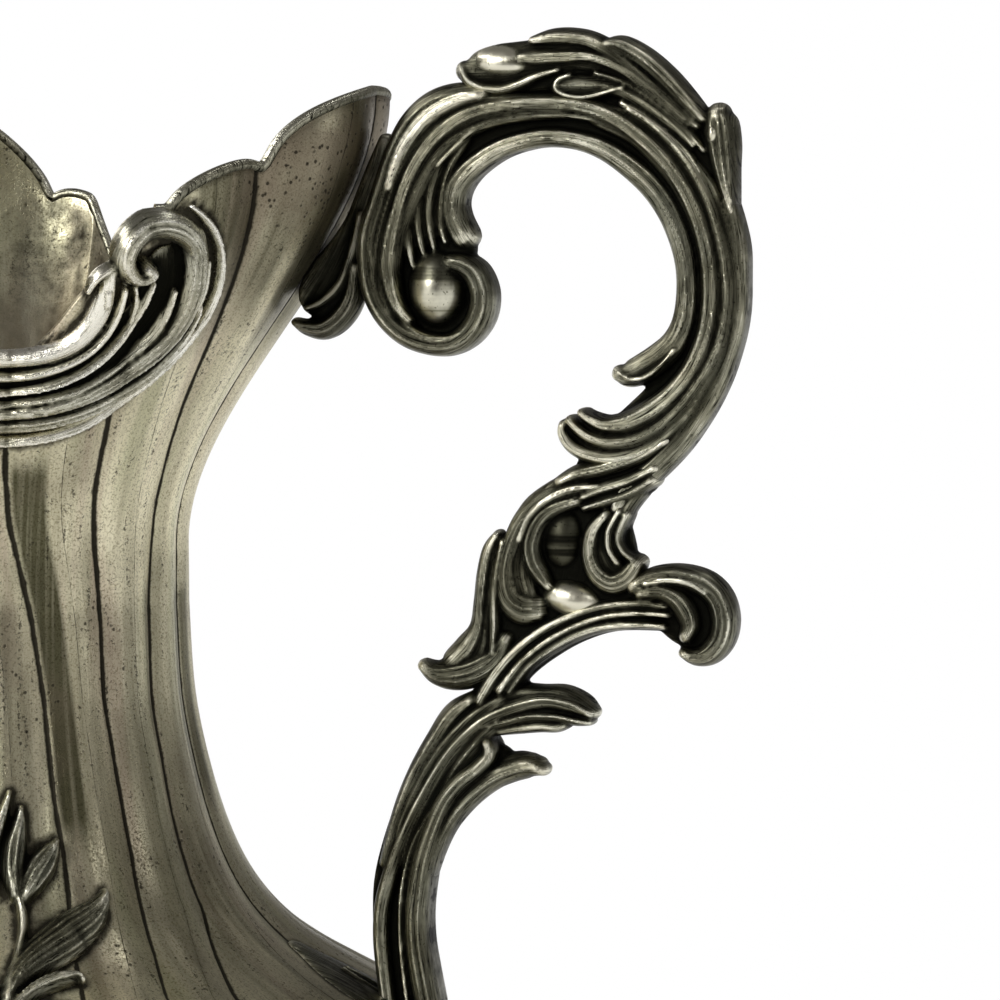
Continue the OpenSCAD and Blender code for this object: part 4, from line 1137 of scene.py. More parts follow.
@dataclass
class Turnings:
    """The turned pieces: the ring that the ewer rests on and the knop under its body."""

    finish: Material
    columns: int = 160
    stem_r: float = 15.0
    ring_w: float = 9.0
    swell: float = 5.0

    def lathe(self, name: str, profile: list[tuple[float, float]], node: str, closed: bool) -> Object:
        """Turns a profile round the axis, its hollows darker.

        Args:
            name: name of the piece.
            profile: radius and height of each row.
            node: CAD node that it stands for.
            closed: the profile is a loop, otherwise it begins and ends on the axis.

        Returns:
            The piece.
        """
        p = np.array(profile)
        a = np.arange(self.columns) * 2 * np.pi / self.columns
        n, m = self.columns, len(p)
        verts = np.stack([p[:, :1] * np.cos(a), p[:, :1] * np.sin(a), p[:, 1:] + 0 * a], -1).reshape(-1, 3)
        if not closed:
            verts = np.vstack([verts, [[0, 0, p[0, 1]], [0, 0, p[-1, 1]]]])
        mesh = mesh_of(name, verts, ring_faces(m, n, closed))
        smooth = (np.roll(p[:, 0], 2) + np.roll(p[:, 0], -2)) / 2
        bend = np.clip(0.5 + (smooth - p[:, 0]) * 0.6, 0.25, 0.8)
        store(mesh, "hollow", np.append(np.repeat(bend, n), [0.5, 0.5])[:len(verts)])
        run = np.concatenate([[0], np.cumsum(np.hypot(*np.diff(p, axis=0).T))])
        grain = np.stack([np.tile(a * 40, m), np.repeat(run, n), np.zeros(m * n)], -1)
        store(mesh, "grain", np.vstack([grain, np.zeros((2, 3))])[:len(verts)])
        return finish_piece(name, mesh, self.finish, Slot.TRIM, node)

    def ring(self) -> Object:
        """The foot ring: a rounded rim between two fillets, flat underneath."""
        r, h = VESSEL.foot_r, VESSEL.foot_ring_z
        inner = r - self.ring_w
        rows = [(inner, 0.0), (r - 2, 0.0), (r - 0.9, 0.15), (r - 0.5, 0.5), (r - 0.5, 0.85), (r - 0.9, 1.1)]
        rows += [(r - 1.1 + 1.1 * math.cos(t), 2.6 + 1.5 * math.cos(t + math.pi / 2))
                 for t in np.linspace(-1.35, 1.35, 11)]
        rows += [(r - 1, 4.2), (r - 1, 4.5), (r - 0.7, 4.7), (r - 0.7, 5.1), (r - 1, 5.5)]
        rows += [(r - 1.3, h), (r - 4, h), (inner, h)]
        return self.lathe("foot_ring_turned", rows, "foot_ring", closed=True)

    def knop(self) -> Object:
        """The knop: a full round between two small fillets."""
        lo, hi = VESSEL.foot_top_z, VESSEL.bowl_z
        h, r = hi - lo, self.stem_r
        neck = 0.16 * h
        fillet = [(r, 0.0), (r, 0.35), (r - 0.35, 0.5), (r - 0.35, 0.8), (r, 1.0)]
        rows = [(a, lo + neck * s) for a, s in fillet]
        rows += [(r - neck / 2 + (self.swell + neck / 2) * math.cos(t),
                  (lo + hi) / 2 + (h / 2 - neck) * math.sin(t) / math.sin(math.pi / 3))
                 for t in np.linspace(-math.pi / 3, math.pi / 3, 25)]
        rows += [(a, hi - neck * s) for a, s in fillet[::-1]]
        return self.lathe("knop_turned", rows, "knop", closed=False)


@dataclass
class RimWires:
    """The wires rolled along the edges of the rear lip and of the spout."""

    finish: Material
    radius: float = 1.25
    sides: int = 14
    step_deg: float = 0.5
    sink: float = 0.55
    lip_tuck: float = 2.5
    spout_tuck: float = 13.5

    def wire(self, name: str, start: float, stop: float, node: str) -> Object:
        """One wire from an angle to another.

        Args:
            name: name of the piece.
            start: first angle in degrees.
            stop: last angle in degrees.
            node: CAD node that it stands for.

        Returns:
            The piece.
        """
        phi = np.linspace(start, stop, int((stop - start) / self.step_deg))
        z = VESSEL.rim_z(phi)
        up = unit(VESSEL.point(z, phi) - VESSEL.point(z - 1, phi))
        line = VESSEL.point(z, phi, VESSEL.wall / 2) + up * self.radius * self.sink
        for _ in range(2):
            line[1:-1] = (line[:-2] + 2 * line[1:-1] + line[2:]) / 4
        mesh = bpy.data.meshes.new(name)
        mesh.from_pydata((line * MM).tolist(), [(i, i + 1) for i in range(len(line) - 1)], [])
        obj = link(name + "_line", mesh)
        set_inputs(obj, self.tree, {"Radius": self.radius * MM, "Sides": self.sides, "Finish": self.finish})
        made = evaluated(obj)
        co, _, _ = numbers(made)
        tall = np.interp(np.degrees(np.arctan2(-co[:, 1], co[:, 0])) % 360, np.sort(phi % 360),
                         line[np.argsort(phi % 360), 2])
        # Painted light: each wire is lighter on its top and darker underneath.
        store(made, "hollow", np.clip(0.47 - (co[:, 2] - tall) * 0.12, 0.2, 0.9))
        store(made, "grain", co * [1, 1, 0.4])
        return finish_piece(name, made, self.finish, Slot.TRIM, node)

    def build(self) -> list[Object]:
        """Both wires."""
        self.tree = wire_tree()
        b, c = VESSEL.cusps[1], VESSEL.cusps[2]
        b, c = b + self.lip_tuck, c - self.spout_tuck
        return [self.wire("rear_lip_wire", -b, b, "rear_rim_wire"),
                self.wire("spout_lip_wire", c, 360 - c, "spout_rim_wire")]


@dataclass(frozen=True)
class Stroke:
    """A stroke of the handle's casting, drawn in pixels of the photograph, with its fine veins."""

    route: Route
    thick: float = 5.0
    power: float = 2.0
    read: float = 0.0
    veins: tuple[float, ...] = ()
    # Above zero the stroke is darkened as painted shade; below zero it is lightened as a painted highlight.
    painted_light: float = 0.0

    GROWN = 1.0
    VEIN_HALF = 0.704
    VEIN_RISE = 0.42
    VEIN_SHARE = 0.3
    END_SHARE = 0.35

    def rows(self, steps: int = 6) -> tuple[Array, Array, Array, Array]:
        """Middle, side direction, half width and half thickness along the stroke, in millimetres."""
        rows = curve_through(np.array([(*r, self.thick) for r in self.route], float), steps)
        depth = float(rows[:, 3].mean()) * self.read
        mids = PHOTO.on_plane(rows[:, 0], rows[:, 1], -depth) * [1, 0, 1]
        half = (np.maximum(rows[:, 2], 0.4) + self.GROWN) * PHOTO.mm_per_pixel(mids)
        along = unit(np.gradient(mids, axis=0))
        return mids, np.stack([-along[:, 2], 0 * half, along[:, 0]], -1), half, np.maximum(rows[:, 3], 0.3)

    def solids(self, number: float) -> list[Solid]:
        """The stroke and its veins."""
        mids, side, half, deep = self.rows()
        out = np.tile([0.0, 1.0, 0.0], (len(mids), 1))
        made = [tube(mids, side, out, np.stack([half, deep, deep], -1), number, power=self.power)]
        made[0].painted_light = self.painted_light
        ends = np.sin(np.linspace(0.12, np.pi - 0.12, len(mids)))
        for i, share in enumerate(self.veins):
            at = mids + side * (half * share)[:, None]
            tall = deep * (1 - abs(share) ** self.power) ** (1 / self.power) + self.VEIN_RISE
            wide = np.minimum(self.VEIN_HALF, half * self.VEIN_SHARE) * np.maximum(ends, self.END_SHARE)
            made.append(tube(at[1:-1], side[1:-1], out[1:-1], np.stack([wide, tall, tall], -1)[1:-1],
                             number + 0.3 + i * 0.17, sides=12))
        return made


def boss(px: float, py: float, wide: float, tall: float, deep: float, lean: float = 0.0, number: float = 0.0,
         read: float = 0.0, painted_light: float = 0.0) -> Solid:
    """An oval boss on the handle's plane, alike on both faces.

    Args:
        px: its middle, in pixels across.
        py: its middle, in pixels down.
        wide: half width in pixels.
        tall: half height in pixels.
        deep: half thickness in millimetres.
        lean: turn in degrees from upright.
        number: sets its grain apart.
        read: share of the half thickness at which its place was read.
        painted_light: painted light, above zero a painted shade darker than bare metal, below zero a painted
            highlight.

    Returns:
        The boss.
    """
    mid = PHOTO.on_plane(np.array([px]), np.array([py]), -deep * read)[0] * [1, 0, 1]
    size = float(PHOTO.mm_per_pixel(mid[None])[0])
    rows, columns = 24, 32
    t, a = np.linspace(0, np.pi, rows + 2)[1:-1], np.arange(columns) * 2 * np.pi / columns
    u = np.sin(t)[:, None] * np.cos(a) * wide * size
    w = np.cos(t)[:, None] * tall * size + 0 * a
    y = np.sin(t)[:, None] * np.sin(a) * deep
    c, s = math.cos(math.radians(lean)), math.sin(math.radians(lean))
    body = np.stack([c * u + s * w, y, c * w - s * u], -1).reshape(-1, 3)
    caps = np.array([[s, 0, c], [-s, 0, -c]]) * tall * size
    verts = np.vstack([body, caps]) + mid
    grain = np.hstack([verts[:, [0, 2]] * 0.05, np.full((len(verts), 1), number * GRAIN_STEP)])
    return Solid(verts, ring_faces(rows, columns), grain, painted_light)


def carve(strokes: tuple[Stroke, ...]) -> list[Solid]:
    """The solids of a set of strokes, each with its own grain."""
    return [solid for i, stroke in enumerate(strokes) for solid in stroke.solids(float(i + 1))]


# Strokes of the handle: pixel across, pixel down and half width in pixels, traced.
# Wide flat strokes with soot above zero are dark webs of painted shade filling the gaps between the bands;
# strokes with soot below zero are painted highlights.
ARCH = (
    Stroke(((441, 168, 20), (470, 138, 24), (510, 118, 26), (560, 114, 28), (610, 124, 30), (655, 156, 33),
        (690, 203, 34), (710, 255, 34), (714, 300, 34), (710, 340, 33), (697, 378, 33), (672, 412, 35),
        (640, 444, 36), (612, 468, 33), (590, 490, 24)), 2.6, 3.5, painted_light=0.3),
    Stroke(((467, 236, 13), (459, 219, 13), (457, 202, 12), (462, 184, 12), (476, 167, 11), (499, 151, 10),
        (522, 142, 9.5), (550, 137, 9.5), (580, 140, 9.5), (607, 149, 11), (633, 166, 12.5),
        (656, 187, 13.5), (673, 212, 13.5), (685, 242, 13), (690.5, 270, 12.5), (690.5, 300, 12.5),
        (686, 325, 13), (676, 344, 14), (661, 358, 15), (645, 368, 14.5), (631, 374, 12.5), (622, 373, 8)),
        4.9, 2.8, 0, (0.55, -0.1)),
    Stroke(((437, 166, 3), (452, 150, 3.5), (470, 133, 3.5), (490, 122, 3.5), (520, 117, 3.5),
        (560, 115, 3.5), (600, 121, 3), (622, 130, 2.5)), 5.5, 2, 0.9),
    Stroke(((410, 320, 4), (396, 302, 8), (389, 272, 11), (391, 242, 11), (398, 212, 10), (407, 184, 10),
        (420, 158, 10.5), (440, 133, 10.5), (468, 114, 10), (505, 105, 9), (550, 103, 9), (585, 107, 9.5),
        (615, 118, 10.5), (642, 137, 11.5), (667, 162, 11.5), (687, 192, 11.5), (700, 222, 11.5),
        (708, 252, 11.5), (711, 280, 11.5), (711, 302, 11.5), (708, 327, 11.5), (701, 350, 11.5),
        (689, 374, 12), (671, 396, 13), (650, 412, 13), (627, 423, 11.5), (605, 425, 8.5), (588, 418, 5),
        (580, 412, 3)), 6.2, 2.8, 0.7, (-0.4, 0.3)),
    Stroke(((628, 108, 5), (650, 122, 6.5), (672, 142, 8), (693, 170, 9), (709, 202, 9.5), (719, 235, 9.5),
        (725, 265, 9.5), (727, 300, 9.5), (723, 330, 9.5), (714, 357, 9.5), (700, 381, 9.5),
        (683, 404, 9.5), (662, 425, 10), (637, 439, 10), (612, 443, 9), (591, 438, 8), (576, 428, 6),
        (568, 420, 4)), 5.8, 2.6, 0.8, (-0.1,)),
    Stroke(((712, 372, 4), (700, 395, 6), (683, 418, 7), (662, 438, 7.5), (638, 452, 8), (612, 457, 9),
        (590, 454, 9), (573, 446, 8), (564, 434, 6.5), (563, 424, 4)), 5.4, 2.6, 0.6, (0.4,)),
    Stroke(((731, 196, 5), (737, 225, 8), (741, 250, 9), (741.5, 280, 9), (741, 305, 9), (738, 328, 9),
        (732, 350, 9.5), (724, 374, 9.5), (713, 397, 10), (699, 420, 10.5), (682, 443, 11), (662, 463, 12),
        (643, 480, 12), (627, 495, 10), (620, 508, 7)), 4.8, 2.8, 0, (-0.5,)),
    Stroke(((618, 371, 3), (630, 379, 4), (645, 377, 4), (660, 366, 4), (674, 350, 3)), 5.7, 2, 0.8),
    Stroke(((600, 114, 12), (640, 130, 16), (672, 157, 19), (697, 190, 21), (714, 230, 21), (722, 265, 21),
        (724, 300, 21), (719, 335, 21), (707, 368, 21), (688, 396, 21), (664, 420, 19), (640, 436, 16)),
        5.1, 5, 0.4, (-0.8, -0.5, -0.2, 0.15, 0.5, 0.8)),
    Stroke(((714, 212, 5), (721, 250, 8), (724, 300, 9), (720, 340, 8), (708, 376, 5)), 5.5, 2.4, 0.8,
        (-0.4, 0.3), -0.14),
    Stroke(((570, 108, 10), (520, 108, 14), (478, 115, 18), (443, 134, 21), (417, 166, 22), (400, 204, 21),
        (388, 246, 19), (386, 285, 16), (396, 316, 12)), 5.4, 5, 0.4, (-0.75, -0.4, -0.1, 0.25, 0.6)),
)

BAND = (
    Stroke(((488, 95, 8), (462, 97, 14), (437, 106, 15.5), (416, 124, 14.5), (401, 149, 13),
        (391, 176, 12.5), (382, 205, 13), (374, 232, 13.5), (372, 258, 13.5), (376, 288, 13),
        (388, 314, 12.5), (407, 333, 12), (430, 343, 11), (452, 344, 11), (470, 334, 12), (482, 316, 13),
        (485, 294, 13), (478, 274, 12.5), (466, 265, 11.5), (452, 262, 9)), 5.6, 2.6, 0.1, (-0.3, 0.35)),
    Stroke(((484, 95, 6), (460, 100, 10), (434, 114, 12), (413, 137, 11), (400, 162, 8), (392, 188, 4)),
        6.1, 2.8, 0.3, (-0.4, 0.2), painted_light=-0.42),
    Stroke(((389, 290, 2.5), (401, 318, 3), (421, 334, 3), (445, 338, 3), (463, 331, 3), (473, 317, 2.5)),
        5.7, 2, 0.8),
    Stroke(((417, 170, 4.5), (411, 190, 6), (408, 212, 6.5), (408, 236, 6.5), (410, 252, 5.5),
        (413, 266, 3.5)), 4.7, 2, 0.8),
    Stroke(((433, 158, 4.5), (425, 179, 6), (420, 197, 6.5), (418, 217, 6.5), (420, 237, 6),
        (424, 254, 3.5)), 4.6, 2, 0.8),
    Stroke(((452, 144, 4.5), (440, 166, 6), (432, 187, 6.5), (429, 208, 6.5), (430, 228, 6),
        (434, 248, 3.5)), 4.6, 2, 0.8),
    Stroke(((468, 140, 4), (452, 164, 5.5), (444, 187, 6), (441, 208, 6), (441, 226, 5.5),
        (445, 242, 3.5)), 4.4, 2, 0.8),
    Stroke(((430, 160, 18), (422, 205, 27), (424, 245, 31), (434, 285, 38), (438, 312, 32)), 2, 4,
        painted_light=0.35),
    Stroke(((440, 247, 8), (455, 248, 8), (470, 249, 7)), 2.8, 3, painted_light=0.3),
)

CROWN = (
    Stroke(((467, 71, 10), (479, 72, 21), (500, 71, 26), (522, 67, 25), (548, 61, 22), (578, 56, 19),
        (608, 62, 16), (638, 78, 13), (668, 100, 11), (696, 126, 8)), 4.3, 2.4, 0.1),
    Stroke(((520, 58, 8), (535, 58, 11), (560, 57, 10), (590, 57, 8), (620, 68, 7), (650, 90, 7),
        (690, 124, 4)), 5.2, 2.2, 0.7, (0.35, -0.35)),
    Stroke(((463, 70, 6), (470, 81, 8.5), (485, 88, 9.5), (503, 89, 9.5), (520, 84, 8.5), (538, 76, 7),
        (558, 70, 5)), 5.2, 1.8, 0.6),
    Stroke(((534, 41, 5), (553, 38, 9), (575, 38, 9.5), (596, 43, 9), (620, 58, 8.5), (650, 82, 8),
        (680, 109, 7), (698, 126, 5)), 5, 2, 0.4, (-0.45, 0.35)),
    Stroke(((607, 44, 5), (622, 46, 10), (645, 59, 11), (668, 79, 11), (688, 101, 10), (704, 118, 7)), 5.2,
        2, 0.3, (-0.45, 0, 0.45)),
    Stroke(((557, 87, 7), (572, 86, 12), (590, 86, 12), (606, 87, 9), (624, 92, 8), (647, 105, 7.5),
        (672, 124, 6.5), (694, 145, 4)), 5.5, 2.6, 0.7, (0.1,)),
    Stroke(((571, 75, 3.2), (560, 80, 4.2), (557, 88, 4.5), (567, 95, 4.5), (585, 97, 4.5), (604, 93, 4.5),
        (624, 87, 3.5)), 6, 2, 0.6),
    Stroke(((596, 73, 4), (628, 84, 6), (660, 106, 6.5), (688, 131, 6), (704, 150, 4)), 5.1, 2, 0.7, (0,)),
    Stroke(((622, 103, 5), (640, 113, 8), (662, 130, 8.5), (686, 152, 8), (703, 177, 5)), 5.4, 2, 0.7,
        (-0.4, 0.3)),
    Stroke(((719, 115, 12), (720, 122, 17), (721, 134, 18.5), (723, 150, 17.5), (726, 170, 13.5),
        (730, 192, 9), (734, 212, 4)), 5.2, 2, 0.2, (0.1, 0.45, -0.35)),
    Stroke(((470, 88, 6), (510, 84, 10), (560, 78, 16), (610, 86, 20), (655, 112, 21), (692, 144, 18),
        (716, 170, 10)), 3.4, 3, painted_light=0.25),
)

KNOT = (
    Stroke(((560, 482, 6), (578, 474, 9), (605, 468, 10), (640, 456, 10), (668, 440, 7)), 5.2, 2.2, 0.5,
        (0.3, -0.2)),
    Stroke(((560, 492, 14), (538, 512, 17), (524, 540, 17), (520, 570, 16), (526, 596, 14)), 4.4, 4, 0.4,
        (-0.3, 0.3)),
    Stroke(((608, 524, 9), (603, 545, 13), (610, 566, 14), (622, 572, 10)), 4, 3, 0.4),
    Stroke(((600, 486, 4), (572, 489, 6.5), (549, 499, 7), (531, 516, 6), (520, 540, 4)), 5.4, 2, 0.6,
        painted_light=-0.2),
    Stroke(((600, 590, 16), (622, 592, 15), (645, 594, 13)), 2.6, 3, painted_light=0.3),
    Stroke(((645, 480, 14), (615, 492, 18), (585, 505, 28), (562, 530, 44), (556, 560, 48), (548, 590, 46),
        (530, 610, 34), (512, 640, 20)), 2.4, 3.5, painted_light=0.3),
    Stroke(((600, 500, 22), (610, 530, 22), (614, 560, 24), (608, 582, 22), (590, 600, 20)), 2.4, 3.5,
        painted_light=0.3),
    Stroke(((590, 486, 7), (568, 490, 9), (547, 499, 10.5), (527, 518, 11), (514, 545, 10.5),
        (508, 572, 10.5), (512, 595, 15), (524, 606, 19), (537, 607, 15)), 4.9, 2.8, 0.2, (0.5, 0)),
    Stroke(((578, 500, 7), (555, 508, 10), (539, 522, 11), (531, 543, 11.5), (533, 561, 11.5),
        (541, 575, 10), (549, 586, 6)), 5.3, 2.6, 0.7, (-0.3, 0.3)),
    Stroke(((608, 514, 6), (595, 530, 8.5), (591, 552, 9.5), (597, 571, 11.5), (612, 582, 13),
        (627, 577, 12.5), (637, 563, 8)), 5.1, 2.6, 0.5, (0.4, 0)),
    Stroke(((619, 511, 5), (609, 530, 6), (609, 548, 6.2), (617, 563, 5)), 5.7, 2, 0.8),
    Stroke(((627, 514, 5), (619, 535, 6), (623, 550, 5.5), (634, 560, 4)), 5.2, 2, 0.6),
    Stroke(((655, 468, 7), (628, 481, 9), (602, 489, 9), (583, 497, 6)), 5.6, 2, 0.7, (0.2,)),
    Stroke(((652, 480, 7), (628, 494, 8.5), (603, 502, 7.5), (584, 508, 4)), 5.3, 2, 0.7, (0,)),
    Stroke(((642, 490, 8), (629, 507, 8), (624, 526, 6)), 4.6, 2, 0.2),
)

SIDE_LEAF = (
    Stroke(((498, 545, 6), (492, 580, 12), (488, 620, 14), (484, 648, 18), (474, 664, 16)), 3.6, 3, 0.2,
        (-0.4, 0.1, 0.5)),
    Stroke(((499, 534, 4), (491, 549, 7.5), (486, 573, 8.5), (483, 600, 8.5), (480, 627, 10),
        (470, 646, 14), (456, 660, 13)), 4.2, 2, 0.2, (0.3,)),
    Stroke(((504, 541, 4), (498, 570, 6.5), (495, 600, 7.5), (495, 630, 7.5), (494, 653, 6)), 4.7, 2, 0.5,
        (0.2,)),
    Stroke(((425, 665, 6), (437, 672, 12), (455, 673, 17), (478, 667, 18), (497, 655, 15), (508, 638, 9)),
        4.3, 2.2, 0.2, (-0.45, -0.1, 0.3)),
)

TAIL = (
    Stroke(((508, 704, 12), (480, 726, 18), (452, 758, 20), (430, 795, 19), (413, 830, 16),
        (404, 860, 10)), 4.8, 5, 0.4, (-0.7, -0.3, 0.1, 0.5)),
    Stroke(((506, 700, 20), (478, 722, 24), (451, 757, 28), (430, 798, 29), (413, 840, 28), (402, 880, 27),
        (400, 915, 26.5), (402, 950, 26.5), (406, 985, 27), (410, 1008, 27)), 2.5, 3.5, painted_light=0.3),
    Stroke(((474, 699, 8), (455, 714, 12), (437, 740, 11), (420, 769, 10), (406, 800, 9), (395, 834, 8),
        (387, 862, 6)), 4.4, 2, 0.2, (-0.3, 0.3)),
    Stroke(((592, 713, 4), (572, 704, 8), (545, 700, 9), (515, 707, 9.5), (489, 718, 9.5), (466, 736, 8.5),
        (447, 758, 7.5), (429, 787, 7), (414, 816, 7.5), (401, 846, 8), (391, 876, 8.5), (384, 905, 8.5),
        (382.5, 935, 8.5), (385, 965, 8.5), (390, 1006, 8.5)), 5.3, 2.8, 0.4, (-0.2,)),
    Stroke(((430, 812, 3), (414, 842, 4), (404, 878, 4), (400.5, 915, 4), (402, 955, 4), (408, 1006, 4)),
        5.5, 2, 0.8),
    Stroke(((489, 741, 5), (491, 754, 8.5), (479, 768, 9.5), (461, 782, 10.5), (446, 801, 11),
        (435, 826, 11.5), (426, 852, 12), (420, 882, 12.5), (417, 912, 12.5), (418, 942, 12.5),
        (423, 975, 13), (429, 1006, 13)), 6.1, 2.8, 0.4, (0.35, -0.15)),
    Stroke(((544, 769, 6), (530, 765, 12), (512, 769, 12.5), (494, 777, 12), (476, 791, 11),
        (460, 808, 10), (448, 827, 8), (438, 852, 6), (430, 880, 4)), 4.7, 2, 0.1, (-0.4, 0.2)),
)

LITTLE_ARCH = (
    Stroke(((667, 616, 14), (618, 615, 15), (582, 624, 16), (550, 640, 17), (520, 662, 18),
        (494, 692, 20)), 2.6, 3, painted_light=0.3),
    Stroke(((668, 606, 4), (640, 603, 6), (604, 607, 7), (572, 617, 7), (545, 630, 7.5), (520, 649, 8),
        (497, 676, 9), (482, 700, 8)), 4.9, 2, 0.3, (-0.4,)),
    Stroke(((668, 615, 3.5), (640, 613, 5), (606, 616, 5.5), (576, 626, 5.5), (548, 641, 6),
        (522, 662, 6.5), (500, 690, 7)), 5.8, 2, 0.7),
    Stroke(((666, 625, 4), (640, 623, 6), (608, 625, 6.5), (580, 633, 7), (552, 648, 7), (530, 665, 7),
        (512, 690, 6)), 4.9, 2, 0.2, (0.3,)),
)

SPRIGS = (
    Stroke(((498, 702, 6), (520, 693, 8.5), (545, 692, 7), (566, 694, 8.5), (584, 703, 9), (594, 712, 6)),
        4.3, 2, 0.1),
    Stroke(((478, 729, 6), (505, 722, 8), (530, 716, 8), (556, 716, 7.5), (576, 720, 6), (589, 722, 3.5)),
        4.9, 2, 0.5, (0.1,)),
    Stroke(((500, 731, 4), (520, 728, 5.5), (540, 726, 6), (557, 727, 5), (567, 725, 3)), 4.3, 2, 0.4),
    Stroke(((452, 800, 9), (475, 782, 11), (500, 770, 12), (520, 764, 12), (538, 766, 9)), 3.6, 2.4, 0.3),
    Stroke(((470, 742, 12), (488, 752, 14), (502, 760, 14)), 2.6, 3, painted_light=0.3),
)

SPUR = (
    Stroke(((665, 610, 18), (685, 618, 26), (703, 622, 26), (700, 604, 20), (672, 594, 18),
        (645, 592, 16)), 2.6, 3, painted_light=0.3),
    Stroke(((636, 586, 9), (656, 578, 11), (680, 577, 12.5), (704, 584, 13.5), (719, 598, 13.5),
        (725, 618, 13.5), (722, 638, 13), (711, 652, 12), (697, 656, 9), (685, 652, 5)), 5, 2.4, 0.2,
        (0.45, 0.05, -0.35)),
    Stroke(((640, 594, 7), (660, 592, 11), (676, 599, 13), (686, 612, 13), (690, 625, 11.5),
        (686, 636, 8)), 5.6, 2.2, 0.6, (0.4, -0.1)),
    Stroke(((646, 584, 4), (668, 580, 6), (690, 583, 6), (706, 592, 5)), 5.6, 2, 0.6, painted_light=-0.18),
)

# The bracket's web, widened out to the handle, takes the darker patina: painted shade in the gap between
# neck and handle.
BRACKET = (
    Stroke(((357, 268, 8), (353, 297, 11), (341, 317, 12), (325, 328, 11), (308, 327, 8), (297, 322, 4)),
        4, 2, 0.2, (-0.3, 0.3)),
    Stroke(((362, 215, 6), (356, 245, 8), (344, 280, 8), (326, 300, 7), (309, 308, 4)), 3.7, 2, 0.3),
    Stroke(((387, 140, 6), (381, 165, 11), (371, 195, 13), (361, 222, 14), (350, 248, 19), (338, 272, 25),
        (324, 294, 25)), 2.7, 4),
)


@dataclass
class HandleCasting:
    """The cast open handle: bracket, upper scroll with its crown leaf, knot, lower scroll and foot leaf."""

    finish: Material
    # Darker patina for the bracket's web, a painted shade.
    shaded_web_finish: Material
    fine: float = 0.432
    voxel: float = 0.36

    def piece(self, name: str, solids: list[Solid], node: str, voxel: float | None = None,
              finish: Material | None = None) -> Object:
        """Fuses solids into one casting that stands for a CAD node."""
        mesh = Sculptor(voxel or self.voxel).fuse(name, solids)
        return finish_piece(name, mesh, finish or self.finish, Slot.HANDLE, node)

    def build(self) -> list[Object]:
        """All the pieces of the handle."""
        # The ball, the lower knot boss, the spoon and the knob are lightened (soot below zero) as painted
        # highlights; the upper knot boss is set darker.
        ball = [boss(436, 287, 30, 40, 7.3, number=90, read=0.4, painted_light=-0.16)]
        knot_bosses = [boss(562, 538, 23, 34, 5.0, 4, 91, 0.6, 0.14),
                       boss(571, 599, 34, 20, 5.3, 14, 92, 0.5, -0.20)]
        spoon = [boss(503, 63, 40, 19, 5.5, number=94, read=0.7, painted_light=-0.30),
                 boss(713, 134, 8, 14, 6.0, number=95, read=0.7, painted_light=-0.22)]
        upper = carve(ARCH + BAND) + ball
        lower = carve(TAIL + LITTLE_ARCH + SPRIGS + SPUR)
        return [
            self.piece("upper_scroll_casting", upper, "handle_upper_scroll", self.fine),
            self.piece("crown_leaf_casting", carve(CROWN) + spoon, "handle_crown_leaf"),
            self.piece("knot_casting", carve(KNOT + SIDE_LEAF) + knot_bosses, "handle_knot"),
            self.piece("lower_scroll_casting", lower, "handle_lower_scroll"),
            self.piece("bracket_casting", carve(BRACKET), "handle_bracket", finish=self.shaded_web_finish),
            self.piece("foot_leaf_casting", self.foot_leaf(), "handle_foot_leaf"),
        ]

    @staticmethod
    def foot_leaf() -> list[Solid]:
        """A three-lobed leaf lying on the shoulder under the tail."""
        land = 146.0
        middle = np.array([(0, 155, 4, 1.6), (0, 151, 9, 2.2), (0, 146, 12, 2.4), (0, 139, 11, 2.3),
                           (0, 131, 7, 2.0), (0, 121, 2.2, 1.2)], float)
        solids = [on_wall(curve_through(middle, 5), 1, under=0.9)]
        for side in (-1, 1):
            lobe = np.array([(side * 1.5, land + 2, 3, 2.2), (side * 4.5, land - 4, 4.2, 2.4),
                             (side * 6.5, land - 12, 3.0, 2.0), (side * 7.0, land - 19, 1.2, 1.0)], float)
            solids.append(on_wall(curve_through(lobe, 6), 2 + side, under=0.9))
            vein = np.array([(side * 0.8, land + 4, 0.6, 2.9), (side * 2.4, land - 8, 0.6, 2.8),
                             (side * 2.2, land - 18, 0.5, 2.2)], float)
            solids.append(on_wall(curve_through(vein, 6), 5 + side, under=0.9))
        return solids


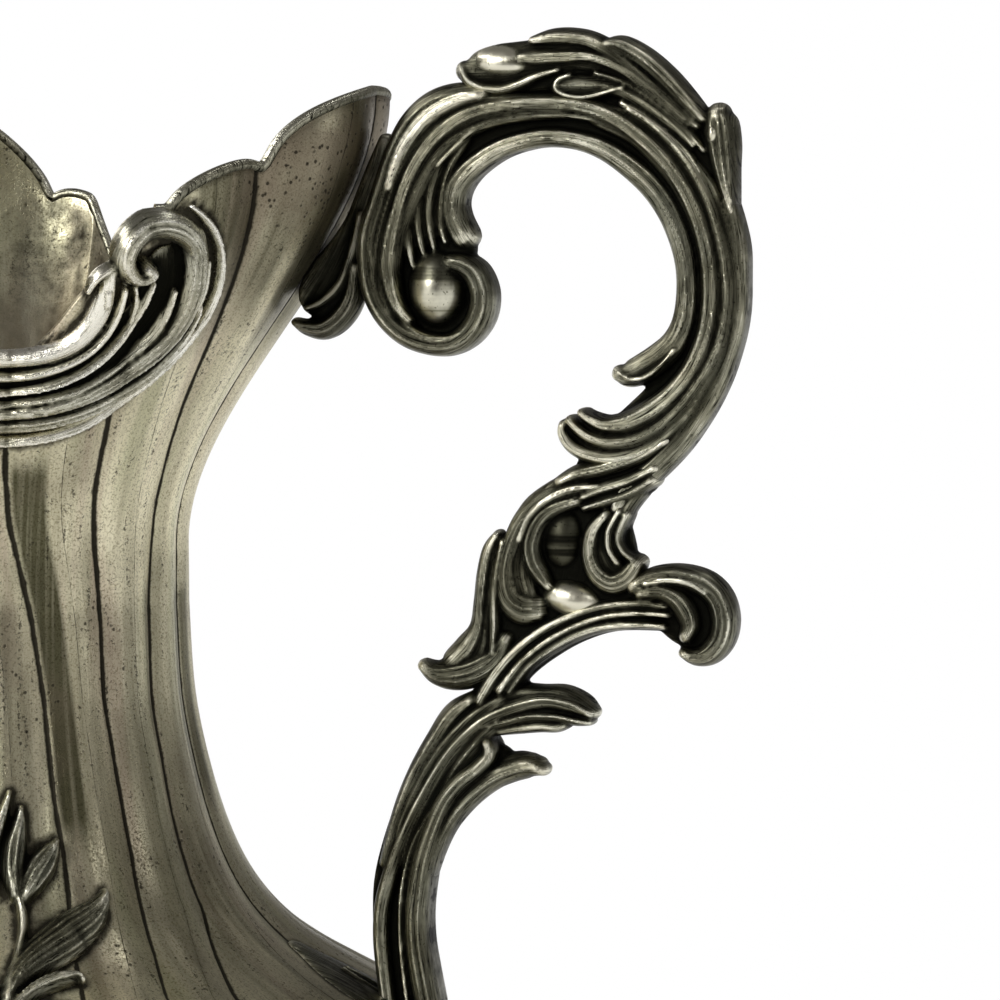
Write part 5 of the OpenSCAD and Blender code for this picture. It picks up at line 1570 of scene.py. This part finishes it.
@dataclass(frozen=True)
class WallStroke:
    """A raised stroke on the near wall, drawn in pixels of the photograph, with a rise in millimetres."""

    route: Route
    power: float = 2.0
    veins: tuple[float, ...] = ()
    mirror_at: float | None = None
    halves: bool = False
    # Above zero the stroke is darkened as painted shade; below zero it is lightened as a painted highlight.
    painted_light: float = 0.0

    VEIN_HALF = 0.60
    VEIN_RISE = 0.58
    VEIN_DEPTH = 0.3

    def solids(self, number: float) -> list[Solid]:
        """The stroke, and its twin or its other half beyond the angle it is mirrored at."""
        rows = seen_stations(self.route, 6)
        sets = [rows]
        if self.mirror_at is not None:
            twin = rows * [-1, 1, 1, 1] + [2 * self.mirror_at, 0, 0, 0]
            if self.halves:
                keep = rows[:, 0] < self.mirror_at - 0.4
                sets = [np.vstack([rows[keep], twin[keep][::-1]])]
            else:
                sets = [rows, twin]
        made = []
        for j, s in enumerate(sets):
            made.append(on_wall(s, number + j * 0.5, self.power))
            made[-1].painted_light = self.painted_light
            ends = np.maximum(np.sin(np.linspace(0.1, np.pi - 0.1, len(s))), Stroke.END_SHARE)
            for i, share in enumerate(self.veins):
                mids, out = VESSEL.point(s[:, 1], s[:, 0]), VESSEL.normal(s[:, 1], s[:, 0])
                side = unit(np.cross(out, unit(np.gradient(mids, axis=0))))
                at = mids + side * (s[:, 2] * share)[:, None]
                tall = s[:, 3] * (1 - abs(share) ** self.power) ** (1 / self.power) + self.VEIN_RISE
                wide = np.minimum(self.VEIN_HALF, s[:, 2] * Stroke.VEIN_SHARE) * ends
                size = np.stack([wide, tall, np.full(len(s), self.VEIN_DEPTH)], -1)
                vein = (v[1:-1] for v in (at, side, out, size))
                made.append(tube(*vein, number + 0.2 + i * 0.1, sides=12))
        return made


CRESCENT = VESSEL.crescent_mid

# Strokes of the mouth's mouldings: pixel across, pixel down, half width in pixels, rise in millimetres.
SCROLL = (
    # The lip stroke is lightened (soot below zero) as a painted highlight; the wide flat stroke under the
    # scroll is darkened as painted shade.
    WallStroke(((108, 268, 7, 2.6), (105, 286, 9, 3), (99, 306, 12, 3), (88, 325, 12, 3), (72, 341, 11, 3),
        (50, 351, 10, 3), (25, 356, 9, 3), (-3, 357, 9, 3)), 2.4, (), CRESCENT, True, -0.24),
    WallStroke(((123, 286, 4, 3.1), (116, 310, 6, 3.2), (99, 336, 6.5, 3.2), (77, 354, 6.5, 3.2),
        (50, 366, 6.5, 3.2), (25, 372, 6.5, 3.2), (-3, 373, 6.5, 3.2)), 2, (), CRESCENT, True),
    WallStroke(((151, 280, 4, 3), (141, 302, 7, 3.2), (128, 322, 7.5, 3.2), (112, 342, 7.5, 3.2),
        (89, 362, 7.5, 3.2), (59, 378, 7, 3.2), (25, 386, 6, 3.2), (-3, 388, 6, 3.2)), 2, (0.1,), CRESCENT,
        True),
    WallStroke(((170, 288, 4, 2.6), (159, 318, 7.5, 3), (138, 344, 8, 3), (108, 367, 7.5, 3),
        (74, 386, 6.5, 3), (40, 396, 6, 3), (-3, 400, 6, 3)), 2, (-0.1,), CRESCENT, True),
    WallStroke(((189, 236, 13, 3.4), (191, 260, 14, 3.6), (187, 288, 14, 3.6), (174, 318, 14.5, 3.6),
        (153, 344, 14.5, 3.6), (125, 368, 13.5, 3.6), (92, 387, 11.5, 3.6), (55, 401, 9, 3.6),
        (25, 407, 8.5, 3.6), (-3, 408, 8.5, 3.6)), 2.6, (-0.55, -0.1, 0.4), CRESCENT, True),
    WallStroke(((197, 305, 3, 1.6), (180, 334, 6, 2), (157, 361, 8, 2.2), (131, 385, 9.5, 2.2),
        (98, 403, 10, 2.2), (60, 417, 10, 2.2), (25, 423, 10, 2.2), (-3, 424, 10, 2.2)), 2.2, (-0.3, 0.35),
        CRESCENT, True),
    WallStroke(((165, 262, 20, 1.2), (160, 295, 24, 1.2), (135, 330, 28, 1.2), (95, 360, 30, 1.2),
        (50, 383, 30, 1.2), (20, 391, 30, 1.2), (-3, 392, 30, 1.2)), 3, (), CRESCENT, True, 0.32),
    WallStroke(((191, 258, 12, 3.7), (189, 240, 13.5, 4.1), (176, 226, 15, 4.5), (157, 221, 16, 4.8),
        (139, 227, 16, 5), (125, 241, 15, 5), (120, 257, 13, 5), (126, 270, 11, 5), (139, 275, 9, 5),
        (148, 268, 9, 5)), 2.2, (-0.4, 0.1), CRESCENT),
    WallStroke(((145, 266, 11, 5), (143, 264, 11, 5.2)), 2, (), CRESCENT),
    WallStroke(((104, 288, 7, 3.6), (103, 300, 7, 3.6)), 2, (), CRESCENT),
    WallStroke(((112, 264, 5, 2.6), (100, 270, 6, 2.8), (90, 279, 5, 2.6), (86, 291, 3, 1.8)), 2, (),
        CRESCENT),
    WallStroke(((134, 284, 4, 3), (136, 298, 4, 3), (128, 318, 3.5, 3)), 2, (), CRESCENT),
)

BEAD = (
    WallStroke(((188, 206, 3.5, 1.8), (201, 217, 5, 2.1), (211, 233, 5.5, 2.3), (217, 252, 5.5, 2.3),
        (217, 275, 5.5, 2.3), (211, 295, 5.5, 2.3), (198, 318, 5.5, 2.3), (178, 343, 5.5, 2.3),
        (155, 368, 6, 2.3), (128, 392, 6, 2.3), (98, 414, 6.5, 2.3), (62, 431, 7, 2.3), (25, 439, 7, 2.3),
        (-3, 440, 7, 2.3)), 2, (0.3,), CRESCENT, True),
    # Set darker as painted shade beside the bead.
    WallStroke(((206, 262, 3, 1), (203, 292, 3, 1.2), (186, 322, 3, 1.2)), 2, (), CRESCENT, False, 0.2),
)


@dataclass
class MouthMouldings:
    """The crescent scroll under each low side of the mouth, with its volutes and its outer bead."""

    finish: Material
    voxel: float = 0.42

    def build(self) -> list[Object]:
        """Both scrolls and both beads."""
        made = []
        for label, strokes, node in (("scroll", SCROLL, "mouth_scroll"), ("bead", BEAD, "mouth_bead")):
            near = [s for i, stroke in enumerate(strokes) for s in stroke.solids(float(i + 1))]
            far = [s.mirrored() for s in near]
            for side, solids in (("near", near), ("far", far)):
                name = f"mouth_{label}_{side}_chased"
                mesh = Sculptor(self.voxel).fuse(name, solids)
                made.append(finish_piece(name, mesh, self.finish, Slot.MOULDING, f"{node}_{side}"))
        return made


SPRAY_AXIS = 80.0

# Strokes of the spray's upper leaves, drawn like the mouldings', then its lower leaves and stems as rows
# of angle, height, half width and rise.
LEAVES = (
    WallStroke(((6, 1008, 8, 1.8), (14, 985, 14, 2.4), (30, 966, 20, 2.9), (52, 950, 24, 3.2),
        (74, 935, 24, 3.3), (90, 918, 18, 3.2), (98, 904, 10, 2.8), (101, 893, 4, 2)), 1.8,
        (-0.72, -0.45, -0.18, 0.12, 0.42, 0.72), SPRAY_AXIS),
    WallStroke(((14, 1008, 6, 1.6), (34, 993, 9, 2.2), (58, 985, 9, 2.4), (76, 982, 6, 2),
        (84, 984, 3, 1.5)), 1.8, (-0.4, 0.3), SPRAY_AXIS),
    WallStroke(((23, 901, 7, 2.4), (30, 885, 14, 2.9), (39, 868, 16, 3.1), (49, 853, 11, 2.9),
        (56, 842, 3.5, 2)), 1.8, (-0.65, -0.25, 0.15, 0.55), SPRAY_AXIS),
    WallStroke(((15, 898, 7, 2.4), (12, 875, 13, 2.9), (13, 850, 14, 3.1), (18, 828, 9, 2.9),
        (20, 808, 3.5, 2)), 1.8, (-0.6, -0.15, 0.35), SPRAY_AXIS),
    WallStroke(((-10, 890, 6, 2.2), (-9, 860, 10, 2.8), (-2, 830, 9, 2.8), (5, 808, 6, 2.4),
        (9, 792, 3, 1.8)), 1.8, (-0.4, 0.3), SPRAY_AXIS),
    WallStroke(((8, 1006, 5, 2.4), (12, 978, 5.5, 2.4), (21, 945, 5.5, 2.4), (23, 920, 6, 2.4),
        (16, 895, 5, 2.2)), 2, (), SPRAY_AXIS),
    WallStroke(((-30, 1000, 6, 2.2), (-18, 960, 6, 2.4), (-14, 920, 5, 2.4), (-16, 880, 4, 2.2)), 2, (),
        SPRAY_AXIS),
)

LOWER_LEAVES = (
    ((76, 137, 1.8, 2.2), (71.5, 134, 3.4, 2.6), (67.5, 130.5, 5.6, 2.8), (62.5, 127, 3.6, 2.4),
        (60, 126, 0.9, 1.2)),
    ((77.5, 134, 1.8, 2.2), (74.5, 129, 3.4, 2.6), (72, 124, 5.6, 2.6), (68.5, 119, 4, 2.15),
        (66, 116, 0.9, 1.2)),
    ((80, 133, 1.8, 2.2), (80, 127, 3.2, 2.4), (80, 121, 5.6, 2.8), (80, 116.5, 3.6, 2.4),
        (80, 114.4, 0.9, 1.2)),
    ((76, 143, 1.6, 2.2), (71, 146, 3, 2.4), (66, 149, 4.8, 3), (61, 151, 3, 2.4), (58, 151, 0.9, 1.2)),
)

STEMS = (
    ((79, 141, 1.9, 2.4), (76, 146, 1.7, 2.6), (73, 150, 1.6, 2.6), (71, 155, 1.4, 2.4)),
    ((79.6, 141, 1.7, 2.4), (78, 149, 1.6, 2.8), (76.5, 157, 1.5, 2.8), (76, 165, 1.3, 2.4)),
)


@dataclass
class FlowerSprays:
    """The applied spray on each side of the shoulder: stem, buds, veined leaves and an open flower."""

    finish: Material
    voxel: float = 0.40
    axis_deg: float = SPRAY_AXIS
    flower_z: float = 140.3
    flower_r: float = 12.0
    petals: int = 5
    relief: float = 1.35
    boss_r: float = 3.7
    boss_h: float = 4.2
    boss_foot: float = 0.4
    boss_stipple: float = 0.16

    def leaves(self) -> list[Solid]:
        """Stems, buds and leaves, alike on both sides of the spray's axis."""
        axis = np.array([self.axis_deg, 0, 0, 0])
        raised = [replace(s, route=tuple((x, y, half, rise * self.relief) for x, y, half, rise in s.route))
                  for s in LEAVES]
        solids = [s for i, stroke in enumerate(raised) for s in stroke.solids(float(i + 1))]
        for i, route in enumerate(LOWER_LEAVES):
            rows = curve_through(np.array(route, float), 6) - axis
            for side in ((1, -1) if route[0][0] != self.axis_deg else (1,)):
                turned = rows * [side, 1, 1, 1] + axis
                solids.append(on_wall(turned, 30 + i * 2 + side, 1.6))
                vein = turned * [1, 1, 0.0, 1] + [0, 0, 0.5, 0.45]
                solids.append(on_wall(vein[4:-3], 50 + i * 2 + side))
        for i, route in enumerate(STEMS):
            rows = curve_through(np.array(route, float), 6) - axis
            for side in (1, -1):
                solids.append(on_wall(rows * [side, 1, 1, 1] + axis, 70 + i * 2 + side))
        return solids

    def seated(self, mesh: Mesh, side: str) -> Mesh:
        """A flower's mesh moved to its place on the near or far wall, its face along the wall's normal."""
        z, phi = np.array([self.flower_z]), np.array([self.axis_deg])
        mid, out = VESSEL.point(z, phi)[0], VESSEL.normal(z, phi)[0]
        east = unit(np.cross([0, 0, 1], out))
        turn = Matrix(np.array([east, np.cross(out, east), out]).T.tolist()).to_4x4()
        mesh.transform(Matrix.Translation(Vector(mid * MM)) @ turn)
        if side == "far":
            mesh.transform(Matrix.Scale(-1, 4, (0, 1, 0)))
            mesh.flip_normals()
        return mesh

    def petal(self) -> Mesh:
        """One petal of unit reach: cupped, notched at its tip, creased along its middle."""
        nu, nv = 18, 15
        u, v = np.meshgrid(np.linspace(0, 1, nu), np.linspace(-1, 1, nv), indexing="ij")
        reach = 0.24 + 0.76 * u * (1 - 0.10 * (1 - np.abs(v)) * u**6)
        wide = 0.60 * np.sin(np.clip(0.35 + 1.75 * u, 0, 2.62)) * (1 - 0.55 * u**5)
        top = 0.17 + 0.13 * np.sin(np.pi * u) + 0.05 * v**2 - 0.05 * np.exp(-(v / 0.12) ** 2) * (1 - u)
        top = top - 0.10 * u**3 + 0.018 * np.cos(v * 12) * (1 - u)
        shape = np.stack([reach, wide * v, top], -1)
        base = shape * [1, 0.96, 0] + [0, 0, -0.03]
        verts = np.vstack([shape.reshape(-1, 3), base.reshape(-1, 3)])
        ids = np.arange(nu * nv).reshape(nu, nv)
        quads = np.stack([ids[:-1, :-1], ids[1:, :-1], ids[1:, 1:], ids[:-1, 1:]], -1).reshape(-1, 4)
        faces = [tuple(q) for q in quads.tolist()] + [tuple(q[::-1]) for q in (quads + nu * nv).tolist()]
        loop = list(ids[0, :]) + list(ids[1:, -1]) + list(ids[-1, -2::-1]) + list(ids[-2:0:-1, 0])
        pairs = [(int(a), int(b)) for a, b in zip(loop, loop[1:] + loop[:1])]
        faces += [(b, a, a + nu * nv, b + nu * nv) for a, b in pairs]
        mesh = mesh_of("petal", verts / MM, faces)
        hollow = 0.62 - 0.35 * np.sin(np.pi * u) + 0.25 * np.exp(-(v / 0.1) ** 2) - 0.1 * v**2
        store(mesh, "hollow", np.append(np.clip(hollow, 0, 1), np.full(nu * nv, 0.85)))
        store(mesh, "grain", np.vstack([np.stack([u * 12, v * 4, 0 * u], -1).reshape(-1, 3)] * 2))
        return mesh

    def flower(self, side: str) -> Object:
        """The five petals, set round the flower's middle by Geometry Nodes."""
        obj = link("petal_for_" + side, self.petal())
        set_inputs(obj, flower_tree(), {"Petals": self.petals, "Reach": self.flower_r * MM,
                                        "Start": math.pi / 2, "Finish": self.finish})
        mesh = self.seated(evaluated(obj), side)
        return finish_piece(f"flower_petals_{side}", mesh, self.finish, Slot.SPRAY, f"spray_flowers_{side}")

    def middle(self, side: str) -> Object:
        """The boss in the flower's middle, stippled in rings."""
        t, a = np.linspace(0.08, np.pi / 2, 16), np.arange(40) * 2 * np.pi / 40
        r = self.boss_r * np.sin(t)[:, None] * (1 + 0 * a)
        stipple = self.boss_stipple * np.cos(t * 14)[:, None] * np.cos(a * 10)
        z = (self.boss_h + stipple) * np.cos(t)[:, None]
        rows = np.stack([r * np.cos(a), r * np.sin(a), z], -1)
        rows = np.vstack([rows, rows[-1:] * [1, 1, 0] + [0, 0, -self.boss_foot]])
        n = len(a)
        verts = np.vstack([rows.reshape(-1, 3), [[0, 0, self.boss_h + 0.05], [0, 0, -self.boss_foot]]])
        ids = np.arange(len(rows) * n).reshape(len(rows), n)
        nxt = np.roll(ids, -1, 1)
        quads = np.stack([ids[:-1], ids[1:], nxt[1:], nxt[:-1]], -1).reshape(-1, 4)
        faces = [tuple(q) for q in quads.tolist()]
        faces += [(len(verts) - 2, int(p), int(q)) for p, q in zip(ids[0], nxt[0])]
        faces += [(len(verts) - 1, int(q), int(p)) for p, q in zip(ids[-1], nxt[-1])]
        mesh = mesh_of("middle", verts, faces)
        shade = np.vstack([0.5 - stipple * 1.3 + 0.25 * (t[:, None] / 1.6) ** 3, np.full((1, n), 0.85)])
        store(mesh, "hollow", np.append(np.clip(shade, 0, 1).ravel(), [0.4, 0.8]))
        store(mesh, "grain", verts * 2)
        mesh = self.seated(mesh, side)
        return finish_piece(f"flower_middle_{side}", mesh, self.finish, Slot.SPRAY, f"spray_bosses_{side}")

    def build(self) -> list[Object]:
        """Both sprays."""
        near = self.leaves()
        made = []
        for side, solids in (("near", near), ("far", [s.mirrored() for s in near])):
            mesh = Sculptor(self.voxel).fuse(f"spray_{side}", solids)
            leaves = finish_piece(f"spray_leaves_chased_{side}", mesh, self.finish, Slot.SPRAY,
                                  f"spray_leaves_{side}")
            made += [leaves, self.flower(side), self.middle(side)]
        return made


def spread_dirt_and_shade(shell: Object, ornaments: list[Object], reach: float = 3.4) -> None:
    """Marks on a shell how near each of its points is to the ornaments, where polish never gets and grime
    gathers; the mark also darkens the wall there as painted shade.
    """
    near = [numbers(o.data)[0][::4] for o in ornaments]
    points = np.vstack(near) if near else np.zeros((1, 3))
    tree = kdtree.KDTree(len(points))
    for i, p in enumerate(points):
        tree.insert(p, i)
    tree.balance()
    co, _, _ = numbers(shell.data)
    away = np.array([tree.find(p)[2] for p in co])
    store(shell.data, "dirt_and_shade", np.clip(1 - away / reach, 0, 1) ** 1.5)


@dataclass
class Studio:
    """A pale floor, a white world, soft lamps, and grey cards that only mirrors see."""

    floor_size: float = 9.0
    card_r: float = 2.4
    card_low: float = 0.26
    card_h: float = 2.4
    roof_tone: float = 0.12
    aim: Place = (0.03, 0.0, 0.2)
    cards: Route = (
        (18, 60, 0.12), (78, 52, 0.13), (131, 50, 0.16), (186, 54, 0.17), (244, 58, 0.17), (300, 50, 0.15))
    near_cards: tuple[tuple[str, float, float, float, float, float, float], ...] = (
        ("bright_card", 2.3, 309.0, 333.0, 0.66, 2.3, 3.6),
        ("window_card", 2.2, 222.0, 262.0, 0.75, 2.2, 1.5),
        ("side_card", 1.7, 31.0, 56.0, 0.12, 0.80, 0.5),
        ("dim_card", 1.15, -14.0, 24.0, 0.03, 0.60, 0.04))
    lamps: tuple[tuple[Place, float, float], ...] = (
        ((-0.8, -1.9, 1.2), 0.85, 20.0), ((-1.5, -0.6, 1.9), 0.6, 9.0), ((1.5, -0.9, 1.3), 0.5, 2.0),
        ((0.8, 0.35, 2.1), 0.22, 3.0))

    def plane(self, name: str, corners: list[Place], finish: Material) -> Object:
        """One flat sheet that isn't part of the object."""
        mesh = bpy.data.meshes.new(name)
        mesh.from_pydata(corners, [], [(0, 1, 2, 3)])
        mesh.materials.append(finish)
        obj = link(name, mesh)
        return obj

    def build(self) -> None:
        """Makes the floor, the cards, the world and the lamps."""
        s = self.floor_size / 2
        square = ((-1, -1), (1, -1), (1, 1), (-1, 1))
        self.plane("floor", [(x * s, y * s, 0) for x, y in square],
                   MatteStage("pale_floor", (0.86, 0.86, 0.85), fade=(0.30, 0.80)).build())
        for i, (azimuth, width, tone) in enumerate(self.cards):
            a, h = math.radians(azimuth), math.radians(width) / 2
            ends = [(self.card_r * math.sin(a + t), -self.card_r * math.cos(a + t)) for t in (-h, h)]
            self.card(f"card_{i + 1}", self.upright(ends, self.card_low, self.card_h), tone)
        self.card("roof", [(x * s, y * s, self.card_h) for x, y in square], self.roof_tone)
        for name, far, start, stop, low, high, tone in self.near_cards:
            turns = [math.radians(a) for a in (start, stop)]
            ends = [(far * math.sin(a), -far * math.cos(a)) for a in turns]
            self.card(name, self.upright(ends, low, high), tone)
        self.world()
        for i, (place, size, power) in enumerate(self.lamps):
            data = bpy.data.lights.new(f"soft_lamp_{i + 1}", "AREA")
            data.size, data.energy = size, power
            lamp = bpy.data.objects.new(data.name, data)
            lamp.location = place
            aim = Vector(self.aim) - lamp.location
            lamp.rotation_euler = aim.to_track_quat("-Z", "Y").to_euler()
            bpy.context.scene.collection.objects.link(lamp)

    @staticmethod
    def upright(ends: list[tuple[float, float]], low: float, high: float) -> list[Place]:
        """Corners of an upright sheet between two ends."""
        return [(*ends[0], low), (*ends[1], low), (*ends[1], high), (*ends[0], high)]

    def card(self, name: str, corners: list[Place], tone: float) -> None:
        """One even grey sheet that only mirrors see."""
        card = self.plane(name, corners, glow_card(f"{name}_grey", tone))
        card.visible_camera = card.visible_diffuse = card.visible_transmission = card.visible_shadow = False

    @staticmethod
    def world() -> None:
        """White for the camera and for mirrors, dimmer as a light."""
        world = bpy.data.worlds.new("studio_world")
        bpy.context.scene.world = world
        g = emptied(world)
        path = g.add("ShaderNodeLightPath")
        seen = g.math("MAXIMUM", path.outputs["Is Camera Ray"], path.outputs["Is Glossy Ray"])
        seen = g.math("MAXIMUM", seen, path.outputs["Is Transmission Ray"])
        strength = g.spread(seen, 0.0, 1.0, 0.6, 1.0)
        back = g.add("ShaderNodeBackground", {0: (1, 1, 1, 1), 1: strength})
        g.add("ShaderNodeOutputWorld", {0: back})


def glow_card(name: str, tone: float) -> Material:
    """An even grey that doesn't depend on the lamps."""
    mat = bpy.data.materials.new(name)
    g = emptied(mat)
    glow = g.add("ShaderNodeEmission", {0: (tone, tone * 0.97, tone * 0.93, 1), 1: 1.0})
    g.add("ShaderNodeOutputMaterial", {0: glow})
    return mat


def main() -> None:
    """Builds the dressed ewer, its camera and its studio."""
    logging.basicConfig(level=logging.INFO, format="%(name)s: %(message)s")
    PHOTO.build()
    plate = RaisedPlate().build()
    cast = CastPatina().build()
    bright = CastPatina(name="cast_patina_bright", bright_rough=0.26, scratch=0.20, strand=0.14, tones=(
        (0.04, (0.97, 0.95, 0.86)), (0.24, (0.62, 0.605, 0.50)), (0.42, (0.36, 0.35, 0.27)),
        (0.55, (0.16, 0.156, 0.115)), (0.67, (0.02, 0.019, 0.013)), (0.80, (0.007, 0.007, 0.005)))).build()
    # A darker copy of the patina: painted shade for the bracket in the gap between neck and handle.
    shaded_web_patina = CastPatina(name="cast_patina_painted_shade", tones=(
        (0.16, (0.26, 0.25, 0.20)), (0.32, (0.09, 0.088, 0.065)), (0.46, (0.026, 0.025, 0.018)),
        (0.62, (0.010, 0.010, 0.007)), (0.80, (0.006, 0.006, 0.005)))).build()
    mouldings = MouthMouldings(bright).build()
    handle = HandleCasting(cast, shaded_web_patina).build()
    sprays = FlowerSprays(cast).build()
    shells = Shells(plate)
    spread_dirt_and_shade(shells.neck(), mouldings + handle[-2:] + sprays)
    for shell in (shells.bowl(), shells.foot()):
        spread_dirt_and_shade(shell, [])
    turnings = Turnings(cast)
    turnings.ring()
    turnings.knop()
    RimWires(bright).build()
    Studio().build()
    view = bpy.context.scene.view_settings
    view.view_transform = "Standard"


if __name__ == "__main__":
    main()
